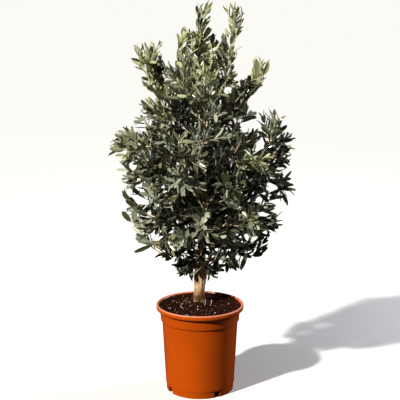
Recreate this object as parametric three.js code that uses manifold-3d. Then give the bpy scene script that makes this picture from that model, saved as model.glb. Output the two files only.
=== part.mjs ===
// A young olive tree growing in a round nursery pot: the pot, its potting soil, the trunk, the boughs
// and the masses of foliage, each a separate solid.
// Millimetres, +Z up. The origin is the centre of the pot's underside. The viewer stands on the -Y side,
// so +X is to the right. A turn is in degrees, anticlockwise from +X as seen from above.

import * as THREE from 'three';
import { mergeVertices } from 'three/addons/utils/BufferGeometryUtils.js';
import Module from 'manifold-3d';

// The pot
const potHeight = 242;
const rimRadius = 120;
const lipHeight = 13;
const lipTurnIn = 3;
const lipWidth = 6;
const lipFlare = 1;
const wall = 2.4;
const collarTopRadius = 110;
const collarBottomRadius = 107.5;
const collarBottom = 199;
const stepHeight = 3;
const bodyTopRadius = 103.8;
const bodyBottomRadius = 95;
const bodyBottom = 31;
const heelRadius = 94.2;
const footHeight = 18.5;
const footTopRadius = 93;
const footRadius = 92;
const footRingWidth = 9;
const floorThickness = 3;
const floorTop = 22.5;
const notchCount = 4;
const firstNotchTurn = 300;
const notchWidth = 17;
const notchHeight = 17.5;
const potSides = 32;

// The potting soil
const soilEdge = 236.5;
const moundTop = 245.7;
const moundTopRadius = 21;
const moundFootRadius = 56;
const soilUnevenness = 2.5;
const clearance = 0.3;
const sliverLimit = 0.05;

// The trunk, whose foot stands a little behind the pot's centre
const trunkX = -3;
const trunkY = 12;
const trunkTop = 345;
const trunkTrim = 3;
const trunkBaseRadius = 16.5;
const trunkRadius = 13.2;
const flareHeight = 16;
const forkHeight = 322;
const forkRadius = 15.6;
const trunkTopRadius = 11;

// The leaders: one in the middle, and one in each quarter that starts low on the fork
const leaderTop = 850;
const leaderLean = 8;
const leaderRadius = 8.2;
const leaderTipRadius = 3.2;
const quarterLeaders = 4;
const firstLeaderTurn = 8;
const quarterStart = 312;
const quarterOut = 88;
const quarterTop = 715;
const quarterRadius = 6.2;
const quarterTipRadius = 2.9;
const boughRadius = 3.8;
const boughTipRadius = 2.6;

// How far the tips of the leaves reach, from the trunk's axis line, at each height
const crownOutline = [
  { height: 300, left: 20, right: 20, deep: 20 },
  { height: 322, left: 68, right: 74, deep: 50 },
  { height: 350, left: 78, right: 120, deep: 70 },
  { height: 395, left: 184, right: 176, deep: 118 },
  { height: 480, left: 206, right: 222, deep: 190 },
  { height: 550, left: 204, right: 246, deep: 205 },
  { height: 620, left: 235, right: 240, deep: 212 },
  { height: 700, left: 252, right: 244, deep: 215 },
  { height: 765, left: 171, right: 209, deep: 185 },
  { height: 806, left: 152, right: 124, deep: 150 },
  { height: 850, left: 162, right: 163, deep: 140 },
  { height: 905, left: 175, right: 172, deep: 130 },
  { height: 945, left: 186, right: 100, deep: 110 },
  { height: 975, left: 60, right: 100, deep: 75 },
  { height: 1062, left: 22, right: 100, deep: 30 },
];

// The tiers of side masses, from the lowest up. Each mass has a bough that leaves a leader at the height
// from and ends at boughHeight, at boughShare of the crown's reach, and a stem that goes on to tipHeight.
// The hem's and skirt's stems are thin, so they leave their leader with no bough.
const tiers = [
  {
    name: 'hem', masses: 4, firstTurn: 205, from: 352, tipOut: 46, tipHeight: 340,
    shoots: 1, shootShare: 0.7, leafScale: 0.7,
  },
  { name: 'skirt', masses: 4, firstTurn: 4, from: 384, tipHeight: 404, shoots: 3 },
  {
    name: 'lower', masses: 6, firstTurn: 25, from: 412, boughShare: 0.34, boughHeight: 458,
    tipHeight: 532, shoots: 4,
  },
  {
    name: 'middle', masses: 6, firstTurn: 2, from: 508, boughShare: 0.36, boughHeight: 576,
    tipHeight: 712, shoots: 5,
  },
  {
    name: 'upper', masses: 4, firstTurn: 53, from: 592, boughShare: 0.34, boughHeight: 662,
    tipHeight: 806, outShare: 0.82, shoots: 4, onMiddle: true,
  },
];
// The masses on the tips of the quarter leaders
const shoulderTips = [905, 930, 950, 930];
// The shoots that stand up out of the crown's top, on the middle leader's tip and on its sides
const spires = [
  { name: 'top_middle', turn: 120, out: 6, tipHeight: 1062, shoots: 3 },
  { name: 'top_right', turn: 8, out: 86, tipHeight: 1040, from: 770, shoots: 2 },
  { name: 'top_left', turn: 172, out: 64, tipHeight: 985, from: 745, shoots: 2 },
  { name: 'top_back', turn: 78, out: 60, tipHeight: 965, from: 790, shoots: 3 },
  { name: 'top_front', turn: 236, out: 72, tipHeight: 945, from: 725, shoots: 3 },
];
// The top's leaves keep closer to their shoots, and its side shoots are shorter
const top = { shoots: 2, spread: 0.75, shootShare: 0.62 };

// The foliage
const leafLength = 92;
const leafWidth = 34;
const leafThickness = 2.4;
const leafBend = 4;
const leafWidestAt = 0.45;
const leafTries = 6;
const triesShrink = 0.91;
const rootDepth = 5;
const pairSpacing = 27;
const pairAngle = 48;
const tipPairAngle = 22;
const shootLength = 108;
const shortestShoot = 30;
const firstShootAngle = 100;
const lastShootAngle = 42;
const shootRise = 0.12;
const shootRadius = 1.2;
const shootTipRadius = 0.9;
const stemFootRadius = 3;
const stemTipRadius = 1.7;
const bareStem = 0.4;
const bareShoot = 0.32;
const goldenTurn = 137.5;
const twigSides = 3;
const tipSlack = 14;
const shootTries = 6;
const retryTurn = 61;
const fewestLeaves = 3;
const cellGap = 0.4;
const limbGap = 0.6;
const turnJitter = 7;
const heightJitter = 12;

const barkColor = '#b39a74';
const twigColor = '#9a9270';
const leafColors = ['#3f4d2c', '#4d5a36', '#5b6840', '#6f7a4c'];
const potColor = '#c4540c';
const soilColor = '#2c1d16';

const wasm = await Module();
wasm.setup();

// The seeded rule's dice: a number from 0 to 1 that depends only on the whole numbers given
function chance(...keys) {
  let mixed = 2166136261;
  for (const key of keys) {
    mixed = Math.imul(mixed ^ (key + 374761393), 16777619);
    mixed ^= mixed >>> 13;
  }
  mixed = Math.imul(mixed ^ (mixed >>> 15), 2246822519);
  mixed ^= mixed >>> 13;
  return (mixed >>> 0) / 4294967296;
}

function jitter(size, ...keys) {
  return size * (2 * chance(...keys) - 1);
}

function mix(a, b, share) {
  return a + (b - a) * share;
}

// A point of the tree at a turn and a distance from the axis that its leaders keep round
function around(turn, out, height) {
  const angle = THREE.MathUtils.degToRad(turn);
  return new THREE.Vector3(leaderLean + out * Math.cos(angle), out * Math.sin(angle), height);
}

// How far the crown reaches at a height, in the direction of a turn
function reachAt(turn, height) {
  const last = crownOutline.length - 1;
  const inside = THREE.MathUtils.clamp(height, crownOutline[0].height, crownOutline[last].height);
  const above = Math.max(1, crownOutline.findIndex((row) => row.height >= inside));
  const [low, high] = [crownOutline[above - 1], crownOutline[above]];
  const share = (inside - low.height) / (high.height - low.height);
  const angle = THREE.MathUtils.degToRad(turn);
  const side = Math.cos(angle) > 0 ? 'right' : 'left';
  const wide = mix(low[side], high[side], share);
  const deep = mix(low.deep, high.deep, share);
  return 1 / Math.hypot(Math.cos(angle) / wide, Math.sin(angle) / deep);
}

// Solids and meshes

function solidOf(geometry) {
  const bare = geometry.clone();
  bare.deleteAttribute('normal');
  bare.deleteAttribute('uv');
  const merged = mergeVertices(bare, 1e-4);
  return new wasm.Manifold(new wasm.Mesh({
    numProp: 3,
    vertProperties: merged.attributes.position.array,
    triVerts: new Uint32Array(merged.index.array),
  }));
}

// The largest body of a solid, without loose scraps, sealed hollows or slivers of faces
function largestBody(solid) {
  const bodies = solid.simplify(sliverLimit).decompose();
  return bodies.reduce((best, body) => (body.volume() > best.volume() ? body : best));
}

function fuse(solids) {
  return largestBody(solids.reduce((whole, piece) => whole.add(piece)));
}

function geometryOf(solid) {
  const mesh = solid.getMesh();
  const geometry = new THREE.BufferGeometry();
  geometry.setAttribute('position', new THREE.BufferAttribute(mesh.vertProperties, mesh.numProp));
  geometry.setIndex(new THREE.BufferAttribute(mesh.triVerts, 1));
  geometry.computeVertexNormals();
  return geometry;
}

function namedMesh(name, solid, color, roughness) {
  const material = new THREE.MeshStandardMaterial({ color, roughness, metalness: 0 });
  const mesh = new THREE.Mesh(geometryOf(solid), material);
  mesh.name = name;
  return mesh;
}

// Limbs: a cylinder bent along a curve and tapered from its foot to its tip

function sideways(heading) {
  const reference = Math.abs(heading.z) > 0.8 ? new THREE.Vector3(0, 1, 0) : new THREE.Vector3(0, 0, 1);
  return new THREE.Vector3().crossVectors(reference, heading).normalize();
}

function bentCylinder(curve, radiusAt, sides, steps) {
  const geometry = new THREE.CylinderGeometry(1, 1, 1, sides, steps);
  const position = geometry.attributes.position;
  for (let i = 0; i < position.count; i += 1) {
    const along = THREE.MathUtils.clamp(position.getY(i) + 0.5, 0, 1);
    const heading = curve.getTangent(along);
    const across = sideways(heading);
    const upward = new THREE.Vector3().crossVectors(heading, across);
    const radius = radiusAt(along);
    const point = curve.getPoint(along)
      .addScaledVector(across, position.getZ(i) * radius)
      .addScaledVector(upward, position.getX(i) * radius);
    position.setXYZ(i, point.x, point.y, point.z);
  }
  return geometry;
}

function taper(from, to) {
  return (along) => mix(from, to, along);
}

function bow(start, end, side, share) {
  const middle = start.clone().lerp(end, 0.5).addScaledVector(side, share * start.distanceTo(end));
  return new THREE.QuadraticBezierCurve3(start, middle, end);
}

const down = new THREE.Vector3(0, 0, -1);

// Distance between two straight stretches
function stretchDistance(a, b, c, d) {
  const first = b.clone().sub(a);
  const second = d.clone().sub(c);
  const between = a.clone().sub(c);
  const [e, f, g] = [first.lengthSq(), second.lengthSq(), first.dot(second)];
  const [h, k] = [first.dot(between), second.dot(between)];
  const spread = e * f - g * g;
  let s = spread > 1e-9 ? THREE.MathUtils.clamp((g * k - h * f) / spread, 0, 1) : 0;
  const t = THREE.MathUtils.clamp((g * s + k) / f, 0, 1);
  s = THREE.MathUtils.clamp((g * t - h) / e, 0, 1);
  return a.clone().addScaledVector(first, s).distanceTo(c.clone().addScaledVector(second, t));
}

// The pot

function potSolid() {
  const lipRound = lipWidth / 2;
  const outline = new THREE.Path();
  outline.moveTo(footRadius - footRingWidth, 0);
  outline.lineTo(footRadius, 0);
  outline.lineTo(footTopRadius, footHeight);
  outline.lineTo(heelRadius, footHeight);
  outline.lineTo(bodyBottomRadius, bodyBottom);
  outline.lineTo(bodyTopRadius, collarBottom - stepHeight);
  outline.lineTo(collarBottomRadius, collarBottom);
  outline.lineTo(collarTopRadius, potHeight - lipHeight);
  outline.lineTo(rimRadius - lipTurnIn, potHeight - lipHeight);
  outline.lineTo(rimRadius, potHeight - lipHeight + lipTurnIn);
  outline.absarc(rimRadius - lipRound, potHeight - lipRound, lipRound, 0, Math.PI / 2, false);
  outline.lineTo(rimRadius - lipWidth, potHeight - lipRound / 2);
  outline.lineTo(collarTopRadius - wall + lipFlare, potHeight - lipHeight);
  outline.lineTo(collarBottomRadius - wall, collarBottom + 1);
  outline.lineTo(bodyTopRadius - wall, collarBottom - stepHeight - 1);
  outline.lineTo(bodyBottomRadius - wall, bodyBottom);
  outline.lineTo(heelRadius - wall, floorTop);
  outline.lineTo(0, floorTop);
  outline.lineTo(0, floorTop - floorThickness);
  outline.lineTo(footRadius - footRingWidth, floorTop - floorThickness);
  outline.closePath();
  // getPoints gives the closing point twice, and a lathe about Y becomes one about Z with a quarter turn
  const profile = outline.getPoints(2);
  const lathe = new THREE.LatheGeometry(profile, potSides).rotateX(Math.PI / 2);
  let pot = solidOf(lathe);
  for (let i = 0; i < notchCount; i += 1) {
    const turn = THREE.MathUtils.degToRad(firstNotchTurn + (i * 360) / notchCount);
    const notch = new THREE.BoxGeometry(footRingWidth * 3, notchWidth, notchHeight * 2)
      .translate(footRadius, 0, 0)
      .rotateZ(turn);
    pot = pot.subtract(solidOf(notch));
  }
  return largestBody(pot);
}

// The potting soil: a plug that fills the pot, with an uneven top and a low mound round the trunk's foot

function soilSolid() {
  const gap = clearance;
  const lipFoot = potHeight - lipHeight;
  const lipInside = collarTopRadius - wall + lipFlare;
  const edgeShare = (soilEdge - lipFoot) / (potHeight - lipFoot);
  const edgeRadius = mix(lipInside, rimRadius - lipWidth, edgeShare) - 2 * gap;
  const profile = [
    [0, floorTop + gap],
    [heelRadius - wall - gap, floorTop + gap],
    [bodyBottomRadius - wall - gap, bodyBottom],
    [bodyTopRadius - wall - gap, collarBottom - stepHeight - 1],
    [collarBottomRadius - wall - gap, collarBottom + 1.5],
    [lipInside - 2 * gap, lipFoot],
    [edgeRadius, soilEdge],
    [mix(moundFootRadius, edgeRadius, 0.66), soilEdge],
    [mix(moundFootRadius, edgeRadius, 0.3), soilEdge],
    [moundFootRadius, soilEdge],
    [moundTopRadius, moundTop],
    [0, moundTop],
  ].map(([out, height]) => new THREE.Vector2(out, height));
  const lathe = new THREE.LatheGeometry(profile, potSides / 2).rotateX(Math.PI / 2);
  const position = lathe.attributes.position;
  for (let i = 0; i < position.count; i += 1) {
    const [x, y, z] = [position.getX(i), position.getY(i), position.getZ(i)];
    const out = Math.hypot(x, y);
    if (z > soilEdge - 1 && out > moundTopRadius + 1 && out < edgeRadius - 1) {
      const cell = [Math.round(x * 10), Math.round(y * 10)];
      position.setZ(i, z + jitter(soilUnevenness, 7, ...cell));
    }
    if (z > soilEdge + 3) {
      position.setXYZ(i, x + trunkX, y + trunkY, z);
    }
  }
  return solidOf(lathe);
}

// The trunk: a flared foot, a straight shaft and a swelling where it forks

const trunkCut = moundTop + clearance;
const trunkFoot = new THREE.Vector3(0, 0, trunkCut - trunkTrim);
const trunkTip = new THREE.Vector3(leaderLean, 0, trunkTop);
const trunkCurve = bow(trunkFoot, trunkTip, new THREE.Vector3(-1, 0, 0), 0.03);

function trunkRadiusAt(along) {
  const height = trunkCurve.getPoint(along).z - trunkFoot.z;
  const flare = (trunkBaseRadius - trunkRadius) * Math.exp(-height / (flareHeight / 2));
  const toFork = THREE.MathUtils.smoothstep(height, flareHeight * 2, forkHeight - trunkFoot.z);
  const pastFork = THREE.MathUtils.smoothstep(height, forkHeight - trunkFoot.z, trunkTop - trunkFoot.z);
  return mix(mix(trunkRadius, forkRadius, toFork) + flare, trunkTopRadius, pastFork);
}

// Each limb keeps its curve and radius, so that what comes later can keep clear of it

const limbs = [];

function addLimb(name, curve, radiusAt, sides, steps) {
  const grown = (extra) => solidOf(bentCylinder(curve, (along) => radiusAt(along) + extra, sides, steps));
  const whole = grown(0);
  const aboveSoil = whole.trimByPlane([0, 0, 1], trunkCut);
  const cut = limbs.reduce((rest, limb) => rest.subtract(limb.keepOut), aboveSoil);
  const solid = largestBody(cut);
  if (solid.volume() < 0.6 * whole.volume()) {
    throw new Error(`${name} runs through another limb`);
  }
  const points = curve.getPoints(8);
  const radii = points.map((_, i) => radiusAt(i / 8));
  limbs.push({ name, curve, radiusAt, solid, keepOut: grown(clearance), points, radii });
}

function limbNamed(name) {
  return limbs.find((limb) => limb.name === name);
}

// The point on a limb at a height
function pointAtHeight(curve, height) {
  const points = curve.getPoints(64);
  const first = points.findIndex((point) => point.z >= height);
  return points[first < 0 ? points.length - 1 : first].clone();
}

function leaderTurn(quarter) {
  return firstLeaderTurn + (quarter * 360) / quarterLeaders + jitter(turnJitter, 11, quarter);
}

function growLeaders() {
  addLimb('trunk', trunkCurve, trunkRadiusAt, 12, 9);
  const middleFoot = trunkTip.clone().setZ(trunkTop + clearance);
  const middleTip = around(150, 3, leaderTop);
  const middleCurve = bow(middleFoot, middleTip, new THREE.Vector3(1, -0.4, 0), 0.025);
  addLimb('leader_middle', middleCurve, taper(leaderRadius, leaderTipRadius), 8, 5);
  for (let i = 0; i < quarterLeaders; i += 1) {
    const turn = leaderTurn(i);
    const foot = pointAtHeight(trunkCurve, quarterStart + (i % 2) * 9);
    const tip = around(turn, quarterOut, quarterTop + jitter(heightJitter, 12, i));
    const bend = around(turn, 56, mix(foot.z, tip.z, 0.26));
    const curve = new THREE.QuadraticBezierCurve3(foot, bend, tip);
    addLimb(`leader_${i + 1}`, curve, taper(quarterRadius, quarterTipRadius), 7, 5);
  }
}

function nearestLeader(turn) {
  let best = 0;
  let least = Infinity;
  for (let i = 0; i < quarterLeaders; i += 1) {
    const away = Math.abs(((turn - leaderTurn(i) + 540) % 360) - 180);
    if (away < least) {
      [best, least] = [i, away];
    }
  }
  return limbNamed(`leader_${best + 1}`);
}

// The masses: where each one's stem starts and ends

const masses = [];
const stretch = new THREE.Line3();
const nearest = new THREE.Vector3();

// A stem starts just clear of its bough's tip, or on the axis of the leader that carries it
function addMass(name, start, heading, tip, details = {}) {
  const foot = details.carrier ? start : start.clone().addScaledVector(heading, clearance);
  const middle = foot.clone().addScaledVector(heading, foot.distanceTo(tip) * 0.45);
  const curve = new THREE.QuadraticBezierCurve3(foot, middle, tip);
  const path = curve.getPoints(4);
  const usual = { spread: 1, shootShare: 1, leafScale: 1 };
  const number = masses.length + 1;
  masses.push({ name: `foliage_${name}`, number, curve, path, ...usual, ...details });
}

// Where a stem ends, so that its last leaves, which go this far on out and up, reach the crown's outline
function stemTip(turn, height, outShare, leafOut, leafUp) {
  const out = outShare * reachAt(turn, height) - leafLength * leafOut;
  return around(turn, out, height - leafLength * leafUp);
}

function growTiers() {
  tiers.forEach((tier, level) => {
    for (let i = 0; i < tier.masses; i += 1) {
      const turn = tier.firstTurn + (i * 360) / tier.masses + jitter(turnJitter, 21, level, i);
      const shift = jitter(heightJitter, 22, level, i);
      const leader = tier.onMiddle ? limbNamed('leader_middle') : nearestLeader(turn);
      const foot = pointAtHeight(leader.curve, tier.from + shift);
      const height = tier.tipHeight + shift;
      const tip = tier.tipOut
        ? around(turn, tier.tipOut, height)
        : stemTip(turn, height, tier.outShare ?? 1, 0.7, 0.3);
      const name = `${tier.name}_${i + 1}`;
      const { shoots, shootShare = 1, leafScale = 1 } = tier;
      if (tier.boughShare) {
        const boughOut = tier.boughShare * reachAt(turn, tier.tipHeight);
        const boughTip = around(turn, boughOut, tier.boughHeight + shift);
        const curve = bow(foot, boughTip, down, 0.08);
        addLimb(`bough_${name}`, curve, taper(boughRadius, boughTipRadius), 5, 2);
        addMass(name, boughTip, curve.getTangent(1), tip, { shoots });
      } else {
        const heading = tip.clone().sub(foot).normalize();
        addMass(name, foot, heading, tip, { shoots, shootShare, leafScale, carrier: leader });
      }
    }
  });
}

function growTop() {
  for (let i = 0; i < quarterLeaders; i += 1) {
    const { curve } = limbNamed(`leader_${i + 1}`);
    const tip = stemTip(leaderTurn(i), shoulderTips[i], 1, 0.25, 0.65);
    addMass(`shoulder_${i + 1}`, curve.getPoint(1), curve.getTangent(1), tip, top);
  }
  const middle = limbNamed('leader_middle');
  for (const spire of spires) {
    const tip = around(spire.turn, spire.out, spire.tipHeight - leafLength * 0.85);
    const along = spire.from ? pointAtHeight(middle.curve, spire.from) : middle.curve.getPoint(1);
    const outward = around(spire.turn, 60, along.z + 60).sub(around(0, 0, along.z)).normalize();
    const heading = spire.from ? outward : middle.curve.getTangent(1);
    const carrier = spire.from && middle;
    addMass(spire.name, along, heading, tip, { ...top, shoots: spire.shoots, carrier });
  }
}

// A mass keeps to the points that are nearer to its own stem than to any other mass's

function distanceToStem(mass, point) {
  let least = Infinity;
  for (let i = 1; i < mass.path.length; i += 1) {
    stretch.set(mass.path[i - 1], mass.path[i]);
    least = Math.min(least, stretch.closestPointToPoint(point, true, nearest).distanceTo(point));
  }
  return least;
}

function insideCell(mass, points) {
  return points.every((point) => {
    const limit = distanceToStem(mass, point) + 2 * cellGap;
    return masses.every((other) => other === mass || distanceToStem(other, point) > limit);
  });
}

function insideCrown(point, slack) {
  const out = point.x - leaderLean;
  const turn = THREE.MathUtils.radToDeg(Math.atan2(point.y, out));
  return Math.hypot(out, point.y) < reachAt(turn, point.z) + slack;
}

function pathsClear(points, others, limitAt) {
  return others.slice(1).every((end, i) => points.slice(1).every(
    (next, j) => stretchDistance(points[j], next, others[i], end) > limitAt(i),
  ));
}

function clearOfLimbs(points, radius) {
  return limbs.every((limb) => pathsClear(points, limb.points,
    (i) => Math.max(limb.radii[i], limb.radii[i + 1]) + radius + limbGap));
}

// A leaf: eight faces, pointed at both ends, widest near its middle and bowed along its length

function leafCorners(node, heading, twigHeading, length, width) {
  const across = new THREE.Vector3().crossVectors(twigHeading, heading).normalize();
  const face = new THREE.Vector3().crossVectors(heading, across);
  const widest = node.clone()
    .addScaledVector(heading, length * leafWidestAt)
    .addScaledVector(face, leafBend);
  const tip = node.clone().addScaledVector(heading, length);
  const left = widest.clone().addScaledVector(across, -width / 2);
  const right = widest.clone().addScaledVector(across, width / 2);
  return {
    tip,
    left,
    right,
    root: node.clone().addScaledVector(twigHeading, -rootDepth),
    under: widest.clone().addScaledVector(face, -leafThickness / 2),
    over: widest.clone().addScaledVector(face, leafThickness / 2),
    petiole: node.clone().addScaledVector(heading, length * 0.12),
    leftEdge: left.clone().lerp(tip, 0.5),
    rightEdge: right.clone().lerp(tip, 0.5),
  };
}

function leafSolid(leaf) {
  const geometry = new THREE.OctahedronGeometry(1, 0);
  const position = geometry.attributes.position;
  for (let i = 0; i < position.count; i += 1) {
    const [x, y, z] = [position.getX(i), position.getY(i), position.getZ(i)].map(Math.round);
    const corner = (z < 0 && leaf.root) || (z > 0 && leaf.tip) || (x < 0 && leaf.left)
      || (x > 0 && leaf.right) || (y < 0 ? leaf.under : leaf.over);
    position.setXYZ(i, corner.x, corner.y, corner.z);
  }
  return solidOf(geometry);
}

const probe = new THREE.Ray();
const hit = new THREE.Vector3();

function edgePierces(from, to, a, b, c) {
  probe.origin.copy(from);
  probe.direction.copy(to).sub(from).normalize();
  const meets = probe.intersectTriangle(a, b, c, false, hit) !== null;
  return meets && hit.distanceTo(from) < from.distanceTo(to);
}

function twigPierces(from, to, leaf) {
  return edgePierces(from, to, leaf.petiole, leaf.left, leaf.tip)
    || edgePierces(from, to, leaf.petiole, leaf.right, leaf.tip);
}

function leafPierces(leaf, other) {
  const outline = [leaf.petiole, leaf.left, leaf.tip, leaf.right, leaf.petiole];
  return outline.slice(1).some((to, i) => twigPierces(outline[i], to, other));
}

function leavesCross(leaf, other) {
  return leafPierces(leaf, other) || leafPierces(other, leaf);
}

function crosswise(heading, turn) {
  return sideways(heading).applyAxisAngle(heading, THREE.MathUtils.degToRad(turn));
}

function tilted(heading, side, angle) {
  const lean = THREE.MathUtils.degToRad(angle);
  return heading.clone().multiplyScalar(Math.cos(lean)).addScaledVector(side, Math.sin(lean)).normalize();
}

// Leaves stand on a shoot in opposite pairs, each pair a quarter turn on from the last. One that would
// leave the mass's space, or touch a limb, another shoot or another leaf, is turned a little or skipped.
function leavesOn(mass, shoot, grown) {
  const leaves = [];
  const pairs = Math.max(1, Math.round((shoot.curve.getLength() * (1 - shoot.bareShare)) / pairSpacing));
  const neighbours = grown.shoots.filter((other) => other !== shoot);
  for (let pair = 0; pair <= pairs; pair += 1) {
    const along = mix(shoot.bareShare, 0.985, pair / pairs);
    const node = shoot.curve.getPoint(along);
    const heading = shoot.curve.getTangent(along);
    const angle = mass.spread * mix(pairAngle, tipPairAngle, (pair / pairs) ** 2);
    const size = mix(1, 0.8, (pair / pairs) ** 3) * Math.sqrt(mass.spread) * mass.leafScale;
    for (const half of [0, 180]) {
      for (let attempt = 0; attempt < leafTries; attempt += 1) {
        const key = [31, mass.number, shoot.number, pair, half, attempt];
        const side = crosswise(heading, shoot.spin + pair * 90 + half + jitter(8 + 9 * attempt, ...key));
        const leafHeading = tilted(heading, side, angle + jitter(8 + 4 * attempt, ...key, 1));
        const scale = size * triesShrink ** attempt;
        const length = leafLength * scale * (1 + jitter(0.1, ...key, 2));
        const leaf = leafCorners(node, leafHeading, heading, length, leafWidth * scale);
        const outline = [leaf.petiole, leaf.left, leaf.tip, leaf.right, leaf.petiole, leaf.tip];
        const fits = insideCrown(leaf.tip, shoot.leads ? tipSlack : 0)
          && insideCell(mass, [leaf.left, leaf.tip, leaf.right, leaf.leftEdge, leaf.rightEdge])
          && neighbours.every((other) => pathsClear(outline, other.path, () => 2 * shootRadius + 0.5))
          && [...grown.leaves, ...leaves].every((other) => !leavesCross(leaf, other))
          && clearOfLimbs(outline, leafThickness / 2);
        if (fits) {
          leaves.push(leaf);
          break;
        }
      }
    }
  }
  return leaves;
}

function makeShoot(curve, details) {
  return { curve, path: curve.getPoints(4), ...details };
}

function stemOf(mass) {
  return makeShoot(mass.curve, {
    number: 0,
    bareShare: bareStem,
    spin: 360 * chance(41, mass.number),
    leads: true,
    radiusAt: taper(stemFootRadius, stemTipRadius),
  });
}

// A side shoot, or null where it has no room. Each leaves the stem a golden turn on from the last, ever
// closer to the stem's direction, and is shortened until it fits.
function sideShoot(mass, stem, number, attempt, grown) {
  const key = [42, mass.number, number, attempt];
  const along = mix(0.05, 0.86, (number - 1 + chance(...key)) / mass.shoots);
  const foot = mass.curve.getPoint(along);
  const heading = mass.curve.getTangent(along);
  const side = crosswise(heading, stem.spin + number * goldenTurn + attempt * retryTurn);
  const angle = mass.spread * mix(firstShootAngle, lastShootAngle, along) + jitter(9, ...key, 1);
  const outward = tilted(heading, side, angle);
  outward.z += shootRise;
  outward.normalize();
  const usual = shootLength * mass.shootShare * mix(1, 0.7, along);
  const longest = usual * (1 + jitter(0.15, ...key, 2));
  for (let length = longest; length > shortestShoot; length *= 0.85) {
    const tip = foot.clone().addScaledVector(outward, length);
    const leafTip = foot.clone().addScaledVector(outward, length + leafLength * 0.4);
    const clearFoot = foot.clone().addScaledVector(outward, 6);
    const path = [clearFoot, tip];
    const fits = insideCell(mass, path) && insideCrown(leafTip, 0) && clearOfLimbs(path, shootRadius)
      && grown.leaves.every((leaf) => !twigPierces(clearFoot, tip, leaf));
    if (fits) {
      return makeShoot(new THREE.LineCurve3(foot, tip), {
        number,
        bareShare: bareShoot,
        spin: 360 * chance(...key, 3),
        leads: false,
        radiusAt: taper(shootRadius, shootTipRadius),
      });
    }
  }
  return null;
}

// A mass grows its stem first, then each side shoot in the first direction where it carries enough leaves
function massSolid(mass) {
  const stem = stemOf(mass);
  const grown = { shoots: [stem], leaves: [] };
  grown.leaves = leavesOn(mass, stem, grown);
  for (let number = 1; number <= mass.shoots; number += 1) {
    for (let attempt = 0; attempt < shootTries; attempt += 1) {
      const shoot = sideShoot(mass, stem, number, attempt, grown);
      const leaves = shoot ? leavesOn(mass, shoot, grown) : [];
      if (leaves.length >= fewestLeaves) {
        grown.shoots.push(shoot);
        grown.leaves.push(...leaves);
        break;
      }
    }
  }
  const twigs = grown.shoots.map((shoot) => solidOf(
    bentCylinder(shoot.curve, shoot.radiusAt, twigSides, shoot.leads ? 3 : 1),
  ));
  const whole = fuse([...twigs, ...grown.leaves.map(leafSolid)]);
  return mass.carrier ? largestBody(whole.subtract(mass.carrier.keepOut)) : whole;
}

const container = new THREE.Group();
container.name = 'container';
container.add(namedMesh('pot', potSolid(), potColor, 0.42));
container.add(namedMesh('potting_soil', soilSolid(), soilColor, 0.95));

// The tree is made round its own foot, and its group stands that foot in the pot
const tree = new THREE.Group();
tree.name = 'tree';
tree.position.set(trunkX, trunkY, 0);
growLeaders();
growTiers();
growTop();
for (const limb of limbs) {
  const color = limb.name.startsWith('bough') ? twigColor : barkColor;
  tree.add(namedMesh(limb.name, limb.solid, color, 0.85));
}
for (const mass of masses) {
  tree.add(namedMesh(mass.name, massSolid(mass), leafColors[mass.number % leafColors.length], 0.55));
}

const olive = new THREE.Group();
olive.name = 'potted_olive_tree';
olive.add(container, tree);

export default olive;
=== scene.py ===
import math
import random

import bpy
import numpy as np
from mathutils import Matrix, Vector, noise


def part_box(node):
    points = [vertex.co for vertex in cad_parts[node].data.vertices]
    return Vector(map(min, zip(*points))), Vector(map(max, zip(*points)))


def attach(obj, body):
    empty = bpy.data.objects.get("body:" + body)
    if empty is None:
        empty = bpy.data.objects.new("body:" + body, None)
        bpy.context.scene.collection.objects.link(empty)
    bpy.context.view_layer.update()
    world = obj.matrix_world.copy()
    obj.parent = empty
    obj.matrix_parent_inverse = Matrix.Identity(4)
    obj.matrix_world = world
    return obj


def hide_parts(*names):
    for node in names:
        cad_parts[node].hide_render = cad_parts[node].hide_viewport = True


# A young olive tree in a nursery pot. Metres, +Z up, and the viewer stands on the -Y side.
# A turn is in degrees, anticlockwise from +X as seen from above.

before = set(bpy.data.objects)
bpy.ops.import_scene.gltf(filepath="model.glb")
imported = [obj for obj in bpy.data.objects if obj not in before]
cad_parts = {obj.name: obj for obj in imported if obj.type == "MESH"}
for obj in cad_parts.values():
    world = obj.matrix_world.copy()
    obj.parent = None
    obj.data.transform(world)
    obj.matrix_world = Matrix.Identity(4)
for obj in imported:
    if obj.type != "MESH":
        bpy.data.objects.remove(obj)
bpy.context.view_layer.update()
nodeNames = sorted(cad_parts)
foliageNodes = [name for name in nodeNames if name.startswith("foliage_")]
limbNodes = [name for name in nodeNames if name.startswith(("trunk", "leader_", "bough_"))]
print("frame loaded with", len(nodeNames), "nodes")


# Small tools

def mix(a, b, share):
    return a + (b - a) * share


def smoothStep(value, low, high):
    share = min(1, max(0, (value - low) / (high - low)))
    return share * share * (3 - 2 * share)


def deselectAll():
    if bpy.context.mode != "OBJECT":
        bpy.ops.object.mode_set(mode="OBJECT")
    bpy.ops.object.select_all(action="DESELECT")


def makeActive(piece):
    deselectAll()
    piece.select_set(True)
    bpy.context.view_layer.objects.active = piece


def applyModifiers(piece):
    makeActive(piece)
    for modifier in list(piece.modifiers):
        bpy.ops.object.modifier_apply(modifier=modifier.name)


def finishPiece(piece, name, nodes=()):
    piece.name = name
    piece.data.name = name
    if nodes:
        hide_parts(*nodes)
    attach(piece, "root")
    return piece


def meshPiece(name, points, faces, materials):
    mesh = bpy.data.meshes.new(name)
    mesh.from_pydata(points, [], faces)
    for material in materials:
        mesh.materials.append(material)
    mesh.update()
    piece = bpy.data.objects.new(name, mesh)
    bpy.context.scene.collection.objects.link(piece)
    return piece


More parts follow.
